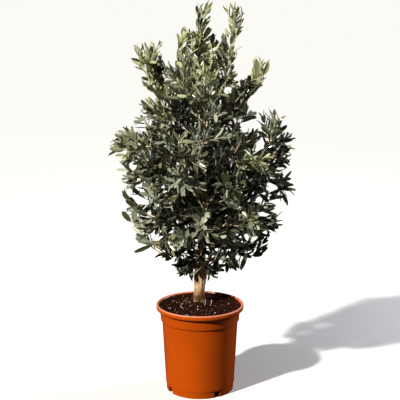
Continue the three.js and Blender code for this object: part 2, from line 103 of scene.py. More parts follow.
# The points, faces and material numbers of a model that is to be copied. The model is removed
def takeShape(piece):
    points = np.array([vertex.co[:] for vertex in piece.data.vertices])
    faces = np.array([face.vertices[:] for face in piece.data.polygons])
    sides = np.array([face.material_index for face in piece.data.polygons])
    bpy.data.objects.remove(piece)
    return points, faces, sides


def shadeSmooth(piece, angle):
    makeActive(piece)
    bpy.ops.object.shade_smooth_by_angle(angle=math.radians(angle))


# Corners of a profile, each (out, height, rounding), made into points with soft bends
def roundedProfile(corners, steps):
    points = []
    for i, (out, height, rounding) in enumerate(corners):
        corner = Vector((out, height))
        if not rounding:
            points.append(corner)
            continue
        before = corner + (Vector(corners[i - 1][:2]) - corner).normalized() * rounding
        after = corner + (Vector(corners[i + 1][:2]) - corner).normalized() * rounding
        for k in range(steps + 1):
            t = k / steps
            points.append(before * (1 - t) ** 2 + corner * 2 * t * (1 - t) + after * t ** 2)
    return points


# A profile drawn vertex by vertex and spun round the pot's axis
def spinProfile(points, steps):
    deselectAll()
    bpy.ops.mesh.primitive_plane_add(size=0.001)
    piece = bpy.context.object
    bpy.ops.object.mode_set(mode="EDIT")
    bpy.ops.mesh.select_all(action="SELECT")
    bpy.ops.mesh.merge(type="CENTER")
    bpy.ops.transform.translate(value=(points[0].x, 0, points[0].y))
    for here, there in zip(points, points[1:]):
        step = (there.x - here.x, 0, there.y - here.y)
        bpy.ops.mesh.extrude_vertices_move(TRANSFORM_OT_translate={"value": step})
    bpy.ops.mesh.select_all(action="SELECT")
    bpy.ops.mesh.spin(steps=steps, angle=math.tau, center=(0, 0, 0), axis=(0, 0, 1))
    bpy.ops.mesh.select_all(action="SELECT")
    bpy.ops.mesh.remove_doubles(threshold=0.00003)
    bpy.ops.mesh.normals_make_consistent(inside=False)
    bpy.ops.object.mode_set(mode="OBJECT")
    return piece


# A bend is three points: where it starts, what it leans towards, and where it ends

def bow(start, end, side, share):
    return (start, (start + end) / 2 + side * (share * (end - start).length), end)


def pointOn(bend, t):
    return bend[0] * (1 - t) ** 2 + bend[1] * (2 * t * (1 - t)) + bend[2] * t ** 2


def headingOn(bend, t):
    return ((bend[1] - bend[0]) * (1 - t) + (bend[2] - bend[1]) * t).normalized()


def pathOf(bend, steps):
    return [pointOn(bend, k / steps) for k in range(steps + 1)]


def lengthOf(bend):
    path = pathOf(bend, 12)
    return sum((b - a).length for a, b in zip(path, path[1:]))


def pointAtHeight(bend, height):
    path = pathOf(bend, 64)
    return next((point for point in path if point.z >= height), path[-1])


# Tubes along paths: each path is a list of (point, radius), and all of them end up in one mesh
def tubes(name, paths, roundness):
    data = bpy.data.curves.new(name, "CURVE")
    data.dimensions = "3D"
    data.bevel_depth = 1
    data.bevel_resolution = roundness
    data.use_fill_caps = True
    for path in paths:
        spline = data.splines.new("POLY")
        spline.points.add(len(path) - 1)
        for end, (point, radius) in zip(spline.points, path):
            end.co = (*point, 1)
            end.radius = radius
    piece = bpy.data.objects.new(name, data)
    bpy.context.scene.collection.objects.link(piece)
    makeActive(piece)
    bpy.ops.object.convert(target="MESH")
    return bpy.context.object


def tubePiece(name, paths, roundness, finish, nodes):
    piece = tubes(name, paths, roundness)
    piece.data.materials.append(finish)
    shadeSmooth(piece, 60)
    return finishPiece(piece, name, nodes)


# Materials

# A node with its settings. Each thing given to it is a value or another node's output
def addNode(graph, kind, given, **settings):
    node = graph.nodes.new(kind)
    for name, value in settings.items():
        setattr(node, name, value)
    for name, value in given.items():
        if isinstance(value, bpy.types.NodeSocket):
            graph.links.new(value, node.inputs[name])
        else:
            node.inputs[name].default_value = value
    return node


# The start of a group that turns a place into a mask, with the numbers that it is given
def startGroup(name, numbers):
    group = bpy.data.node_groups.new(name, "ShaderNodeTree")
    socket = group.interface.new_socket
    socket(name="Place", in_out="INPUT", socket_type="NodeSocketVector")
    for number in numbers:
        socket(name=number, in_out="INPUT", socket_type="NodeSocketFloat")
    socket(name="Mask", in_out="OUTPUT", socket_type="NodeSocketFloat")
    return group, group.nodes.new("NodeGroupInput").outputs


# The end of such a group: a mask that is 0 where the value is From and 1 where it is To
def endGroup(group, start, value):
    stretch = addNode(group, "ShaderNodeMapRange", {
        "Value": value, "From Min": start["From"], "From Max": start["To"],
    })
    addNode(group, "NodeGroupOutput", {"Mask": stretch.outputs["Result"]})
    return group


def blotchGroup():
    group, start = startGroup("blotches", ("Scale", "From", "To"))
    clouds = addNode(group, "ShaderNodeTexNoise", {
        "Vector": start["Place"], "Scale": start["Scale"], "Detail": 4, "Roughness": 0.6,
    })
    return endGroup(group, start, clouds.outputs["Fac"])


def heightGroup():
    group, start = startGroup("heights", ("From", "To"))
    parts = addNode(group, "ShaderNodeSeparateXYZ", {"Vector": start["Place"]})
    return endGroup(group, start, parts.outputs["Z"])


blotches = blotchGroup()
heights = heightGroup()


def newMaterial(name, color, roughness, gloss=0.5):
    material = bpy.data.materials.new(name)
    material.use_nodes = True
    values = material.node_tree.nodes["Principled BSDF"].inputs
    values["Base Color"].default_value = (*color, 1)
    values["Roughness"].default_value = roughness
    values["Specular IOR Level"].default_value = gloss
    return material


def feedShader(graph, name, source):
    graph.links.new(source, graph.nodes["Principled BSDF"].inputs[name])


# Cloudy blotches, given by four numbers: 1 for round ones or less for ones drawn out upwards, how
# fine they are, and the clouds' values between which the mask goes from 0 to 1
def blotchMask(graph, upwards, scale, low, high):
    place = graph.nodes.new("ShaderNodeTexCoord").outputs["Object"]
    turned = addNode(graph, "ShaderNodeMapping", {"Vector": place, "Scale": (1, 1, upwards)})
    mask = addNode(graph, "ShaderNodeGroup", {
        "Place": turned.outputs["Vector"], "Scale": scale, "From": low, "To": high,
    }, node_tree=blotches)
    return mask.outputs["Mask"]


# A mask from 0 at the height low to 1 at the height high
def heightMask(graph, low, high):
    place = graph.nodes.new("ShaderNodeTexCoord").outputs["Object"]
    mask = addNode(graph, "ShaderNodeGroup", {"Place": place, "From": low, "To": high}, node_tree=heights)
    return mask.outputs["Mask"]


def productOf(graph, first, second):
    product = addNode(graph, "ShaderNodeMath", {0: first, 1: second}, operation="MULTIPLY")
    return product.outputs["Value"]


# One color where the mask is 0 and a second where it is 1. The first may come from a node
def mixColors(graph, mask, first, second):
    under = first if isinstance(first, bpy.types.NodeSocket) else (*first, 1)
    blend = addNode(graph, "ShaderNodeMix", {0: mask, 6: under, 7: (*second, 1)}, data_type="RGBA")
    return blend.outputs[2]


def bumpFrom(graph, height, strength, depth):
    bump = addNode(graph, "ShaderNodeBump", {"Height": height, "Strength": strength, "Distance": depth})
    feedShader(graph, "Normal", bump.outputs["Normal"])


plasticLook = {
    "orange": (0.43, 0.060, 0.001),
    "redder": (0.38, 0.052, 0.001),
    "redderBlotches": (1, 11, 0.35, 0.7),
    # A painted highlight: a pale salmon band along the top of the lip, between these heights and up to this
    # share
    "rimHighlight": (0.72, 0.36, 0.25),
    "rimHighlightHeights": (0.2385, 0.2412),
    "rimHighlightShare": 0.55,
    "soiled": (0.20, 0.075, 0.03),
    "soiledBlotches": (0.35, 26, 0.58, 0.8),
    "soiledHeights": (0.09, 0.0),
    "soiledShare": 0.5,
    "wornBlotches": (0.3, 60, 0.4, 0.75),
    "smoothest": 0.24,
    "roughest": 0.38,
    "gloss": 0.22,
    "skinBlotches": (1, 900, 0.2, 0.8),
    "skinStrength": 0.12,
    "skinDepth": 0.0002,
}


def potPlastic(look):
    material = newMaterial("potPlastic", look["orange"], look["smoothest"], look["gloss"])
    graph = material.node_tree
    tone = blotchMask(graph, *look["redderBlotches"])
    color = mixColors(graph, tone, look["orange"], look["redder"])
    # A painted highlight: the top of the lip is mixed towards a pale salmon band
    rimHighlight = productOf(graph, heightMask(graph, *look["rimHighlightHeights"]), look["rimHighlightShare"])
    color = mixColors(graph, rimHighlight, color, look["rimHighlight"])
    smears = blotchMask(graph, *look["soiledBlotches"])
    soiled = productOf(graph, smears, heightMask(graph, *look["soiledHeights"]))
    soiled = productOf(graph, soiled, look["soiledShare"])
    feedShader(graph, "Base Color", mixColors(graph, soiled, color, look["soiled"]))
    sheen = addNode(graph, "ShaderNodeMapRange", {
        "Value": blotchMask(graph, *look["wornBlotches"]),
        "To Min": look["smoothest"], "To Max": look["roughest"],
    })
    feedShader(graph, "Roughness", sheen.outputs["Result"])
    bumpFrom(graph, blotchMask(graph, *look["skinBlotches"]), look["skinStrength"], look["skinDepth"])
    return material


soilLook = {
    "dark": (0.003, 0.001, 0.0006),
    "clod": (0.027, 0.0065, 0.0032),
    "clodBlotches": (1, 170, 0.4, 0.66),
    "dust": (0.045, 0.017, 0.010),
    "dustBlotches": (1, 420, 0.6, 0.75),
    "roughness": 0.95,
    "gloss": 0.05,
    "grainBlotches": (1, 700, 0.25, 0.75),
    "grainStrength": 0.8,
    "grainDepth": 0.0012,
}


def soilMaterial(look):
    material = newMaterial("pottingSoil", look["clod"], look["roughness"], look["gloss"])
    graph = material.node_tree
    color = mixColors(graph, blotchMask(graph, *look["clodBlotches"]), look["dark"], look["clod"])
    color = mixColors(graph, blotchMask(graph, *look["dustBlotches"]), color, look["dust"])
    feedShader(graph, "Base Color", color)
    bumpFrom(graph, blotchMask(graph, *look["grainBlotches"]), look["grainStrength"], look["grainDepth"])
    return material


barkLook = {
    "brown": (0.44, 0.25, 0.105),
    "straw": (0.78, 0.51, 0.25),
    "streakBlotches": (0.22, 230, 0.38, 0.64),
    "patch": (0.66, 0.49, 0.33),
    "patchBlotches": (0.6, 48, 0.5, 0.68),
    "crack": (0.10, 0.062, 0.035),
    "crackBlotches": (0.14, 420, 0.53, 0.64),
    "stain": (0.090, 0.040, 0.012),
    "stainBlotches": (0.22, 95, 0.28, 0.48),
    "stainHeights": (0.290, 0.262),
    "young": (0.24, 0.21, 0.14),
    "youngHeights": (0.42, 0.80),
    "youngShare": 0.55,
    "roughness": 0.82,
    "gloss": 0.2,
    "reliefStrength": 0.5,
    "reliefDepth": 0.0006,
}


def barkMaterial(look):
    material = newMaterial("bark", look["straw"], look["roughness"], look["gloss"])
    graph = material.node_tree
    streaks = blotchMask(graph, *look["streakBlotches"])
    color = mixColors(graph, streaks, look["brown"], look["straw"])
    for name in ("patch", "crack"):
        color = mixColors(graph, blotchMask(graph, *look[name + "Blotches"]), color, look[name])
    damp = blotchMask(graph, *look["stainBlotches"])
    stain = productOf(graph, heightMask(graph, *look["stainHeights"]), damp)
    color = mixColors(graph, stain, color, look["stain"])
    young = productOf(graph, heightMask(graph, *look["youngHeights"]), look["youngShare"])
    feedShader(graph, "Base Color", mixColors(graph, young, color, look["young"]))
    bumpFrom(graph, streaks, look["reliefStrength"], look["reliefDepth"])
    return material


leafColors = {
    # deep is partly the leaves' own dark green and partly painted shade, since it fills the crown's inside
    # and its lower edge
    "deep": (0.010, 0.012, 0.006),
    "mid": (0.052, 0.058, 0.026),
    "sage": (0.172, 0.184, 0.098),
    "grey": (0.310, 0.337, 0.250),
    "young": (0.365, 0.392, 0.188),
}
leafSheen = {"roughness": 0.25, "gloss": 0.7}
leafUpper = {name: newMaterial("leaf_" + name, color, **leafSheen) for name, color in leafColors.items()}

# The other plain finishes: color, roughness and gloss
plainLooks = {
    "leafUnderside": ((0.33, 0.35, 0.25), 0.55, 0.5),
    # Painted shade: the undersides of deep leaves, which lie mostly inside the crown and low down, are
    # darkened
    "paintedShadeLeafUnderside": ((0.070, 0.080, 0.048), 0.55, 0.5),
    "youngLeafUnderside": ((0.44, 0.47, 0.28), 0.50, 0.5),
    "stemBark": ((0.70, 0.56, 0.38), 0.8, 0.15),
    "shootBark": ((0.62, 0.50, 0.32), 0.7, 0.15),
    "soilCrumb": ((0.018, 0.0045, 0.0025), 0.95, 0.05),
    "barkChip": ((0.085, 0.026, 0.013), 0.9, 0.08),
    "mossyLump": ((0.075, 0.055, 0.030), 0.95, 0.15),
    "perlite": ((0.62, 0.60, 0.55), 0.85, 0.5),
    "rootlet": ((0.62, 0.46, 0.34), 0.8, 0.15),
}
finishes = {name: newMaterial(name, *values) for name, values in plainLooks.items()}
finishes["plastic"] = potPlastic(plasticLook)
finishes["soil"] = soilMaterial(soilLook)
finishes["bark"] = barkMaterial(barkLook)
print("materials ready")


# The pot: spun from its profile, with drain notches cut out of the foot ring

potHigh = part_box("pot")[1]

pot = {
    "height": potHigh.z,
    "rimRadius": potHigh.x,
    "lipHeight": 0.013,
    "lipWidth": 0.006,
    "lipTuck": 0.0016,        # how far the lip's underside draws in
    "lipBelly": 0.003,        # how far above its underside the lip is widest
    "lipTaper": 0.0002,
    "throat": 0.001,          # how much wider than the collar the opening under the lip is
    "wall": 0.0024,
    "collarTop": 0.110,
    "collarBottom": 0.1075,
    "collarHeight": 0.199,
    "collarDrop": 0.0006,
    "stepHeight": 0.003,
    "stepInside": 0.001,
    "bodyTop": 0.1038,
    "bodyBottom": 0.095,
    "bodyStart": 0.031,
    "heel": 0.0942,
    "footTop": 0.093,
    "foot": 0.092,
    "footHeight": 0.0185,
    "ringWidth": 0.009,
    "floor": 0.0225,
    "floorThickness": 0.003,
    "notches": 4,
    "firstNotch": 300,
    "notchWidth": 0.017,
    "notchHeight": 0.0175,
    "notchRounding": 0.0022,
    "sides": 160,
}


# From the middle of the floor's underside, up the outside, over the lip and down the inside: how far
# out each corner is, how high, and how much of each side its rounding takes
def potProfile(p):
    under = p["height"] - p["lipHeight"]
    inner = p["foot"] - p["ringWidth"]
    floorUnder = p["floor"] - p["floorThickness"]
    step = p["collarHeight"] - p["stepHeight"]
    return roundedProfile([
        (0, floorUnder, 0),
        (inner, floorUnder, 0.0012),
        (inner, 0, 0.001),
        (p["foot"], 0, 0.0016),
        (p["footTop"], p["footHeight"], 0.0008),
        (p["heel"], p["footHeight"], 0.001),
        (p["bodyBottom"], p["bodyStart"], 0.0035),
        (p["bodyTop"], step, 0.0012),
        (p["collarBottom"], p["collarHeight"], 0.0014),
        (p["collarTop"], under - p["collarDrop"], 0.002),
        (p["rimRadius"] - p["lipTuck"], under, 0.0016),
        (p["rimRadius"], under + p["lipBelly"], 0.0026),
        (p["rimRadius"] - p["lipTaper"], p["height"], 0.0029),
        (p["rimRadius"] - p["lipWidth"], p["height"], 0.0020),
        (p["collarTop"] - p["wall"] + p["throat"], under, 0.004),
        (p["collarBottom"] - p["wall"], p["collarHeight"] + p["stepInside"], 0.001),
        (p["bodyTop"] - p["wall"], step - p["stepInside"], 0.001),
        (p["bodyBottom"] - p["wall"], p["bodyStart"], 0.004),
        (p["heel"] - p["wall"], p["floor"], 0.002),
        (0, p["floor"], 0),
    ], 4)


# Each cutter reaches past both faces of the foot ring and below it
def cutNotches(piece, p):
    for i in range(p["notches"]):
        turn = math.radians(p["firstNotch"] + 360 * i / p["notches"])
        place = Matrix.Rotation(turn, 3, "Z") @ Vector((p["foot"], 0, 0))
        deselectAll()
        size = (p["ringWidth"] * 3, p["notchWidth"], p["notchHeight"] * 2)
        bpy.ops.mesh.primitive_cube_add(size=1, location=place, rotation=(0, 0, turn), scale=size)
        cutter = bpy.context.object
        bpy.ops.object.transform_apply(location=False, rotation=False, scale=True)
        bpy.ops.object.mode_set(mode="EDIT")
        bpy.ops.mesh.select_all(action="SELECT")
        bpy.ops.mesh.bevel(offset=p["notchRounding"], segments=4, affect="EDGES")
        bpy.ops.object.mode_set(mode="OBJECT")
        cut = piece.modifiers.new("notch", "BOOLEAN")
        cut.operation = "DIFFERENCE"
        cut.solver = "EXACT"
        cut.object = cutter
        applyModifiers(piece)
        bpy.data.objects.remove(cutter)


def makePot():
    piece = spinProfile(potProfile(pot), pot["sides"])
    cutNotches(piece, pot)
    piece.data.materials.append(finishes["plastic"])
    shadeSmooth(piece, 35)
    return finishPiece(piece, "nurseryPot", ["pot"])


makePot()
print("pot made")


# The dice of the growing rule: a number from 0 to 1 that depends only on the whole numbers given.
# The large numbers stir the bits, and the first key of a draw says what is drawn

def chance(*keys):
    mixed = 2166136261
    for key in keys:
        mixed = ((mixed ^ (key + 374761393)) * 16777619) & 0xffffffff
        mixed ^= mixed >> 13
    mixed = ((mixed ^ (mixed >> 15)) * 2246822519) & 0xffffffff
    mixed ^= mixed >> 13
    return mixed / 4294967296


def jitter(size, *keys):
    return size * (2 * chance(*keys) - 1)


# The tree: the same foot, leaders, boughs and stems as the frame's solids

tree = {
    "x": -0.003,
    "y": 0.012,
    "ground": 0.2457,
    "clearance": 0.0003,
    "trunkTop": 0.345,
    "trunkBow": 0.03,
    "baseRadius": 0.0165,
    "trunkRadius": 0.0132,
    "flareHeight": 0.016,
    "forkHeight": 0.322,
    "forkRadius": 0.0156,
    "topRadius": 0.011,
    "lean": 0.008,
    "leaderTop": 0.850,
    "leaderTopTurn": 150,
    "leaderTopOut": 0.003,
    "leaderSide": (1, -0.4, 0),
    "leaderBow": 0.025,
    "leaderRadius": 0.0082,
    "leaderTip": 0.0032,
    "quarters": 4,
    "firstLeaderTurn": 8,
    "quarterStart": 0.312,
    "quarterStagger": 0.009,
    "quarterLeanOut": 0.056,
    "quarterLeanShare": 0.26,
    "quarterOut": 0.088,
    "quarterTop": 0.715,
    "quarterRadius": 0.0062,
    "quarterTip": 0.0029,
    "boughSag": 0.08,
    "boughRadius": 0.0038,
    "boughTip": 0.0026,
    "stemLean": 0.45,
    "spireSlope": 0.060,      # a spire leaves its leader as far outwards as upwards
    "solidLeaf": 0.092,       # length of the solids' own leaves, which sets where a stem ends
    "sideTip": (0.7, 0.3),    # how far the last leaves go on out and up, in lengths of a leaf
    "shoulderTip": (0.25, 0.65),
    "spireTip": 0.85,
    "turnJitter": 7,
    "heightJitter": 0.012,
}

# How far the leaves' tips reach from the crown's axis: height, to the left, to the right, in depth
crownOutline = [
    (0.300, 0.020, 0.020, 0.020),
    (0.322, 0.068, 0.074, 0.050),
    (0.350, 0.078, 0.120, 0.070),
    (0.395, 0.184, 0.176, 0.118),
    (0.480, 0.206, 0.222, 0.190),
    (0.550, 0.204, 0.246, 0.205),
    (0.620, 0.235, 0.240, 0.212),
    (0.700, 0.252, 0.244, 0.215),
    (0.765, 0.171, 0.209, 0.185),
    (0.806, 0.152, 0.124, 0.150),
    (0.850, 0.162, 0.163, 0.140),
    (0.905, 0.175, 0.172, 0.130),
    (0.945, 0.186, 0.100, 0.110),
    (0.975, 0.060, 0.100, 0.075),
    (1.062, 0.022, 0.100, 0.030),
]

tiers = [
    {"name": "hem", "masses": 4, "firstTurn": 205, "start": 0.352, "tipHeight": 0.340,
     "tipOut": 0.046, "shootShare": 0.7},
    {"name": "skirt", "masses": 4, "firstTurn": 4, "start": 0.384, "tipHeight": 0.404},
    {"name": "lower", "masses": 6, "firstTurn": 25, "start": 0.412, "boughShare": 0.34,
     "boughHeight": 0.458, "tipHeight": 0.532},
    {"name": "middle", "masses": 6, "firstTurn": 2, "start": 0.508, "boughShare": 0.36,
     "boughHeight": 0.576, "tipHeight": 0.712},
    {"name": "upper", "masses": 4, "firstTurn": 53, "start": 0.592, "boughShare": 0.34,
     "boughHeight": 0.662, "tipHeight": 0.806, "outShare": 0.82, "onMiddle": True},
]
shoulderTips = (0.905, 0.930, 0.950, 0.930)
topShare = 0.62      # length of the side shoots at the crown's top, against others
topSpread = 0.60     # how widely their leaves spread, against others
spires = [
    {"name": "top_middle", "turn": 120, "out": 0.006, "tipHeight": 1.062},
    {"name": "top_right", "turn": 8, "out": 0.086, "tipHeight": 1.040, "start": 0.770},
    {"name": "top_left", "turn": 172, "out": 0.064, "tipHeight": 0.985, "start": 0.745},
    {"name": "top_back", "turn": 78, "out": 0.060, "tipHeight": 0.965, "start": 0.790},
    {"name": "top_front", "turn": 236, "out": 0.072, "tipHeight": 0.945, "start": 0.725},
]


def around(turn, out, height):
    angle = math.radians(turn)
    x = tree["x"] + tree["lean"] + out * math.cos(angle)
    return Vector((x, tree["y"] + out * math.sin(angle), height))


# The turn and the distance of a point, as seen from the crown's axis
def turnAndOut(point):
    x, y = point.x - tree["x"] - tree["lean"], point.y - tree["y"]
    return math.degrees(math.atan2(y, x)), math.hypot(x, y)


def reachAt(turn, height):
    inside = min(crownOutline[-1][0], max(crownOutline[0][0], height))
    above = next(i for i, row in enumerate(crownOutline) if row[0] >= inside)
    above = max(1, above)
    low, high = crownOutline[above - 1], crownOutline[above]
    share = (inside - low[0]) / (high[0] - low[0])
    angle = math.radians(turn)
    side = 2 if math.cos(angle) > 0 else 1
    wide = mix(low[side], high[side], share)
    deep = mix(low[3], high[3], share)
    return 1 / math.hypot(math.cos(angle) / wide, math.sin(angle) / deep)


limbs = {}


def addLimb(name, bend, foot, tip):
    limbs[name] = {"bend": bend, "foot": foot, "tip": tip}


def leaderTurn(quarter):
    spread = 360 / tree["quarters"]
    return tree["firstLeaderTurn"] + quarter * spread + jitter(tree["turnJitter"], 11, quarter)


def growLeaders():
    foot = Vector((tree["x"], tree["y"], tree["ground"] + tree["clearance"]))
    top = Vector((tree["x"] + tree["lean"], tree["y"], tree["trunkTop"]))
    trunk = bow(foot, top, Vector((-1, 0, 0)), tree["trunkBow"])
    addLimb("trunk", trunk, tree["trunkRadius"], tree["topRadius"])
    start = top.copy()
    start.z += tree["clearance"]
    end = around(tree["leaderTopTurn"], tree["leaderTopOut"], tree["leaderTop"])
    middle = bow(start, end, Vector(tree["leaderSide"]), tree["leaderBow"])
    addLimb("leader_middle", middle, tree["leaderRadius"], tree["leaderTip"])
    for i in range(tree["quarters"]):
        turn = leaderTurn(i)
        start = pointAtHeight(trunk, tree["quarterStart"] + (i % 2) * tree["quarterStagger"])
        tip = around(turn, tree["quarterOut"], tree["quarterTop"] + jitter(tree["heightJitter"], 12, i))
        leanHeight = mix(start.z, tip.z, tree["quarterLeanShare"])
        bend = (start, around(turn, tree["quarterLeanOut"], leanHeight), tip)
        addLimb("leader_%d" % (i + 1), bend, tree["quarterRadius"], tree["quarterTip"])


def nearestLeader(turn):
    def away(i):
        return abs((turn - leaderTurn(i) + 540) % 360 - 180)
    return "leader_%d" % (min(range(tree["quarters"]), key=away) + 1)


masses = []


# A stem starts on the axis of the leader that carries it, or just clear of a bough's or leader's tip
def addMass(name, start, heading, tip, spread, shootShare, carried=False):
    foot = start if carried else start + heading * tree["clearance"]
    stem = (foot, foot + heading * ((tip - foot).length * tree["stemLean"]), tip)
    masses.append({"name": "foliage_" + name, "number": len(masses) + 1, "stem": stem,
                   "spread": spread, "shootShare": shootShare})


# Where a stem ends, so that its last leaves, which go this far on out and up, reach the outline
def stemTip(turn, height, outShare, leafOut, leafUp):
    out = outShare * reachAt(turn, height) - tree["solidLeaf"] * leafOut
    return around(turn, out, height - tree["solidLeaf"] * leafUp)


def growTiers():
    for level, tier in enumerate(tiers):
        for i in range(tier["masses"]):
            turn = tier["firstTurn"] + i * 360 / tier["masses"]
            turn += jitter(tree["turnJitter"], 21, level, i)
            shift = jitter(tree["heightJitter"], 22, level, i)
            leader = "leader_middle" if tier.get("onMiddle") else nearestLeader(turn)
            foot = pointAtHeight(limbs[leader]["bend"], tier["start"] + shift)
            height = tier["tipHeight"] + shift
            if "tipOut" in tier:
                tip = around(turn, tier["tipOut"], height)
            else:
                tip = stemTip(turn, height, tier.get("outShare", 1), *tree["sideTip"])
            name = "%s_%d" % (tier["name"], i + 1)
            if "boughShare" in tier:
                out = tier["boughShare"] * reachAt(turn, tier["tipHeight"])
                boughTip = around(turn, out, tier["boughHeight"] + shift)
                bend = bow(foot, boughTip, Vector((0, 0, -1)), tree["boughSag"])
                addLimb("bough_" + name, bend, tree["boughRadius"], tree["boughTip"])
                addMass(name, boughTip, headingOn(bend, 1), tip, 1, 1)
            else:
                heading = (tip - foot).normalized()
                addMass(name, foot, heading, tip, 1, tier.get("shootShare", 1), carried=True)


def growTop():
    for i in range(tree["quarters"]):
        bend = limbs["leader_%d" % (i + 1)]["bend"]
        tip = stemTip(leaderTurn(i), shoulderTips[i], 1, *tree["shoulderTip"])
        addMass("shoulder_%d" % (i + 1), bend[2], headingOn(bend, 1), tip, topSpread, topShare)
    middle = limbs["leader_middle"]["bend"]
    for spire in spires:
        tipHeight = spire["tipHeight"] - tree["solidLeaf"] * tree["spireTip"]
        tip = around(spire["turn"], spire["out"], tipHeight)
        if "start" in spire:
            start = pointAtHeight(middle, spire["start"])
            above = around(spire["turn"], tree["spireSlope"], start.z + tree["spireSlope"])
            heading = (above - around(0, 0, start.z)).normalized()
            addMass(spire["name"], start, heading, tip, topSpread, topShare, carried=True)
        else:
            addMass(spire["name"], middle[2], headingOn(middle, 1), tip, topSpread, topShare)


growLeaders()
growTiers()
growTop()
sameNames = sorted(limbs) == limbNodes and sorted(mass["name"] for mass in masses) == foliageNodes
print("rule repeated:", len(limbs), "limbs and", len(masses), "masses; the frame's names:", sameNames)


# Room: a mass keeps to what is nearest to its own stem, within the crown and clear of the limbs

stemSteps = 4
limbSteps = 8
anywhere = 9    # metres, further than any two points of the crown


def stretchesOf(paths):
    starts = np.array([point for path in paths for point in path[:-1]])
    ends = np.array([point for path in paths for point in path[1:]])
    return starts, ends - starts


stemStarts, stemSpans = stretchesOf([pathOf(mass["stem"], stemSteps) for mass in masses])
limbStarts, limbSpans = stretchesOf([pathOf(limb["bend"], limbSteps) for limb in limbs.values()])


def limbRadius(name, along):
    limb = limbs[name]
    if name != "trunk":
        return mix(limb["foot"], limb["tip"], along)
    height = pointOn(limb["bend"], along).z - tree["ground"]
    flare = (tree["baseRadius"] - tree["trunkRadius"]) * math.exp(-height * 2 / tree["flareHeight"])
    fork = tree["forkHeight"] - tree["ground"]
    toFork = smoothStep(height, tree["flareHeight"] * 2, fork)
    pastFork = smoothStep(height, fork, tree["trunkTop"] - tree["ground"])
    shaft = mix(tree["trunkRadius"], tree["forkRadius"], toFork) + flare
    return mix(shaft, tree["topRadius"], pastFork)


limbRadii = np.array([limbRadius(name, k / limbSteps) for name in limbs for k in range(limbSteps)])


def distancesTo(points, starts, spans):
    points = np.array(points)[:, None, :]
    share = ((points - starts) * spans).sum(2) / (spans * spans).sum(1)
    share = np.clip(share, 0, 1)[..., None]
    return np.linalg.norm(points - starts - share * spans, axis=2)


def insideCell(mass, points, mingle):
    away = distancesTo(points, stemStarts, stemSpans)
    away = away.reshape(len(points), len(masses), stemSteps).min(axis=2)
    own = away[:, mass["number"] - 1].copy()
    away[:, mass["number"] - 1] = anywhere
    return bool((away.min(axis=1) + mingle > own).all())


def insideCrown(point, slack):
    turn, out = turnAndOut(point)
    return out < reachAt(turn, point.z) + slack


def clearOfLimbs(points, gap):
    return bool((distancesTo(points, limbStarts, limbSpans) > limbRadii + gap).all())


# The front view: the crown's outline as the eye sees it, and the gaps where the sky shows through

front = {
    "eyeDistance": 2.8,
    "eyeHeight": 1.12,
    "slack": 0.008,
}
# Read off the enlarged photo: how far right and up, to the nearest 5 mm, then half the
# gap's width and height, to the nearest 2 mm
skyGaps = [
    (0.045, 1.015, 0.018, 0.050), (-0.025, 1.020, 0.018, 0.032), (-0.070, 0.945, 0.014, 0.040),
    (-0.145, 0.875, 0.008, 0.026), (-0.120, 0.855, 0.006, 0.018), (0.115, 0.900, 0.024, 0.042),
    (0.075, 0.825, 0.014, 0.010), (0.075, 0.960, 0.008, 0.014), (0.095, 0.950, 0.008, 0.016),
    (-0.125, 0.810, 0.006, 0.016), (-0.095, 0.795, 0.008, 0.010), (0.120, 0.735, 0.010, 0.022),
    (0.100, 0.750, 0.014, 0.008), (0.160, 0.675, 0.010, 0.014), (0.140, 0.655, 0.008, 0.008),
    (-0.205, 0.665, 0.010, 0.014), (-0.180, 0.620, 0.010, 0.010), (0.195, 0.565, 0.010, 0.014),
    (-0.160, 0.530, 0.018, 0.018), (-0.140, 0.495, 0.010, 0.016), (0.155, 0.525, 0.010, 0.014),
    (0.175, 0.490, 0.010, 0.022), (-0.135, 0.425, 0.018, 0.008), (-0.105, 0.425, 0.008, 0.008),
    (-0.085, 0.445, 0.008, 0.008), (0.110, 0.380, 0.010, 0.020), (0.055, 0.360, 0.010, 0.010),
    (0.150, 0.795, 0.024, 0.024), (-0.155, 0.390, 0.040, 0.022), (0.150, 0.355, 0.022, 0.018),
]
# Leaves that would hide the fork from the front are left out too, in the same four measures
clearings = [(0.005, 0.325, 0.014, 0.032), (-0.005, 0.350, 0.008, 0.014)]


def openSky(point, slack=0):
    nearness = front["eyeDistance"] / (front["eyeDistance"] + point.y)
    x = point.x * nearness
    z = front["eyeHeight"] + (point.z - front["eyeHeight"]) * nearness
    if z > crownOutline[-1][0]:
        return True
    for right, up, halfWidth, halfHeight in skyGaps + clearings:
        if math.hypot((x - right) / halfWidth, (z - up) / halfHeight) < 1:
            return True
    out = x - tree["x"] - tree["lean"]
    return abs(out) > reachAt(0 if out > 0 else 180, z) + front["slack"] + slack


# The colors of sprays: shares of the crown's reach, heights and distances between which one color
# gives way to the next, each as (from, to)

toning = {
    # Painted shade: sprays below shadeBelow, and inside the crown away from its lit outside, are mostly
    # deep
    "shadeBelow": 0.385,
    "deepBelow": 0.85,                # the share of deep sprays below that height
    "lit": (0.35, 0.72),
    "litHeights": (0.30, 0.50),
    "topHeights": (0.72, 0.96),
    "youngAtTop": 0.48,
    "youngShares": (0.05, 0.50),
    "youngReach": (0.58, 0.85),
    "youngHeights": (0.56, 0.68),
    "youngSide": (0.06, 0.15),
    "youngInFront": 0.2,
    "youngWithin": 0.1,
}
# The shares of the leaves' colors on the crown's outside, within it and at its top; the rest are grey
# The larger share of deep leaves within the crown is painted shade
leafShares = (
    ("deep", 0.23, 0.62, 0.12),
    ("mid", 0.32, 0.26, 0.24),
    ("sage", 0.26, 0.08, 0.37),
)
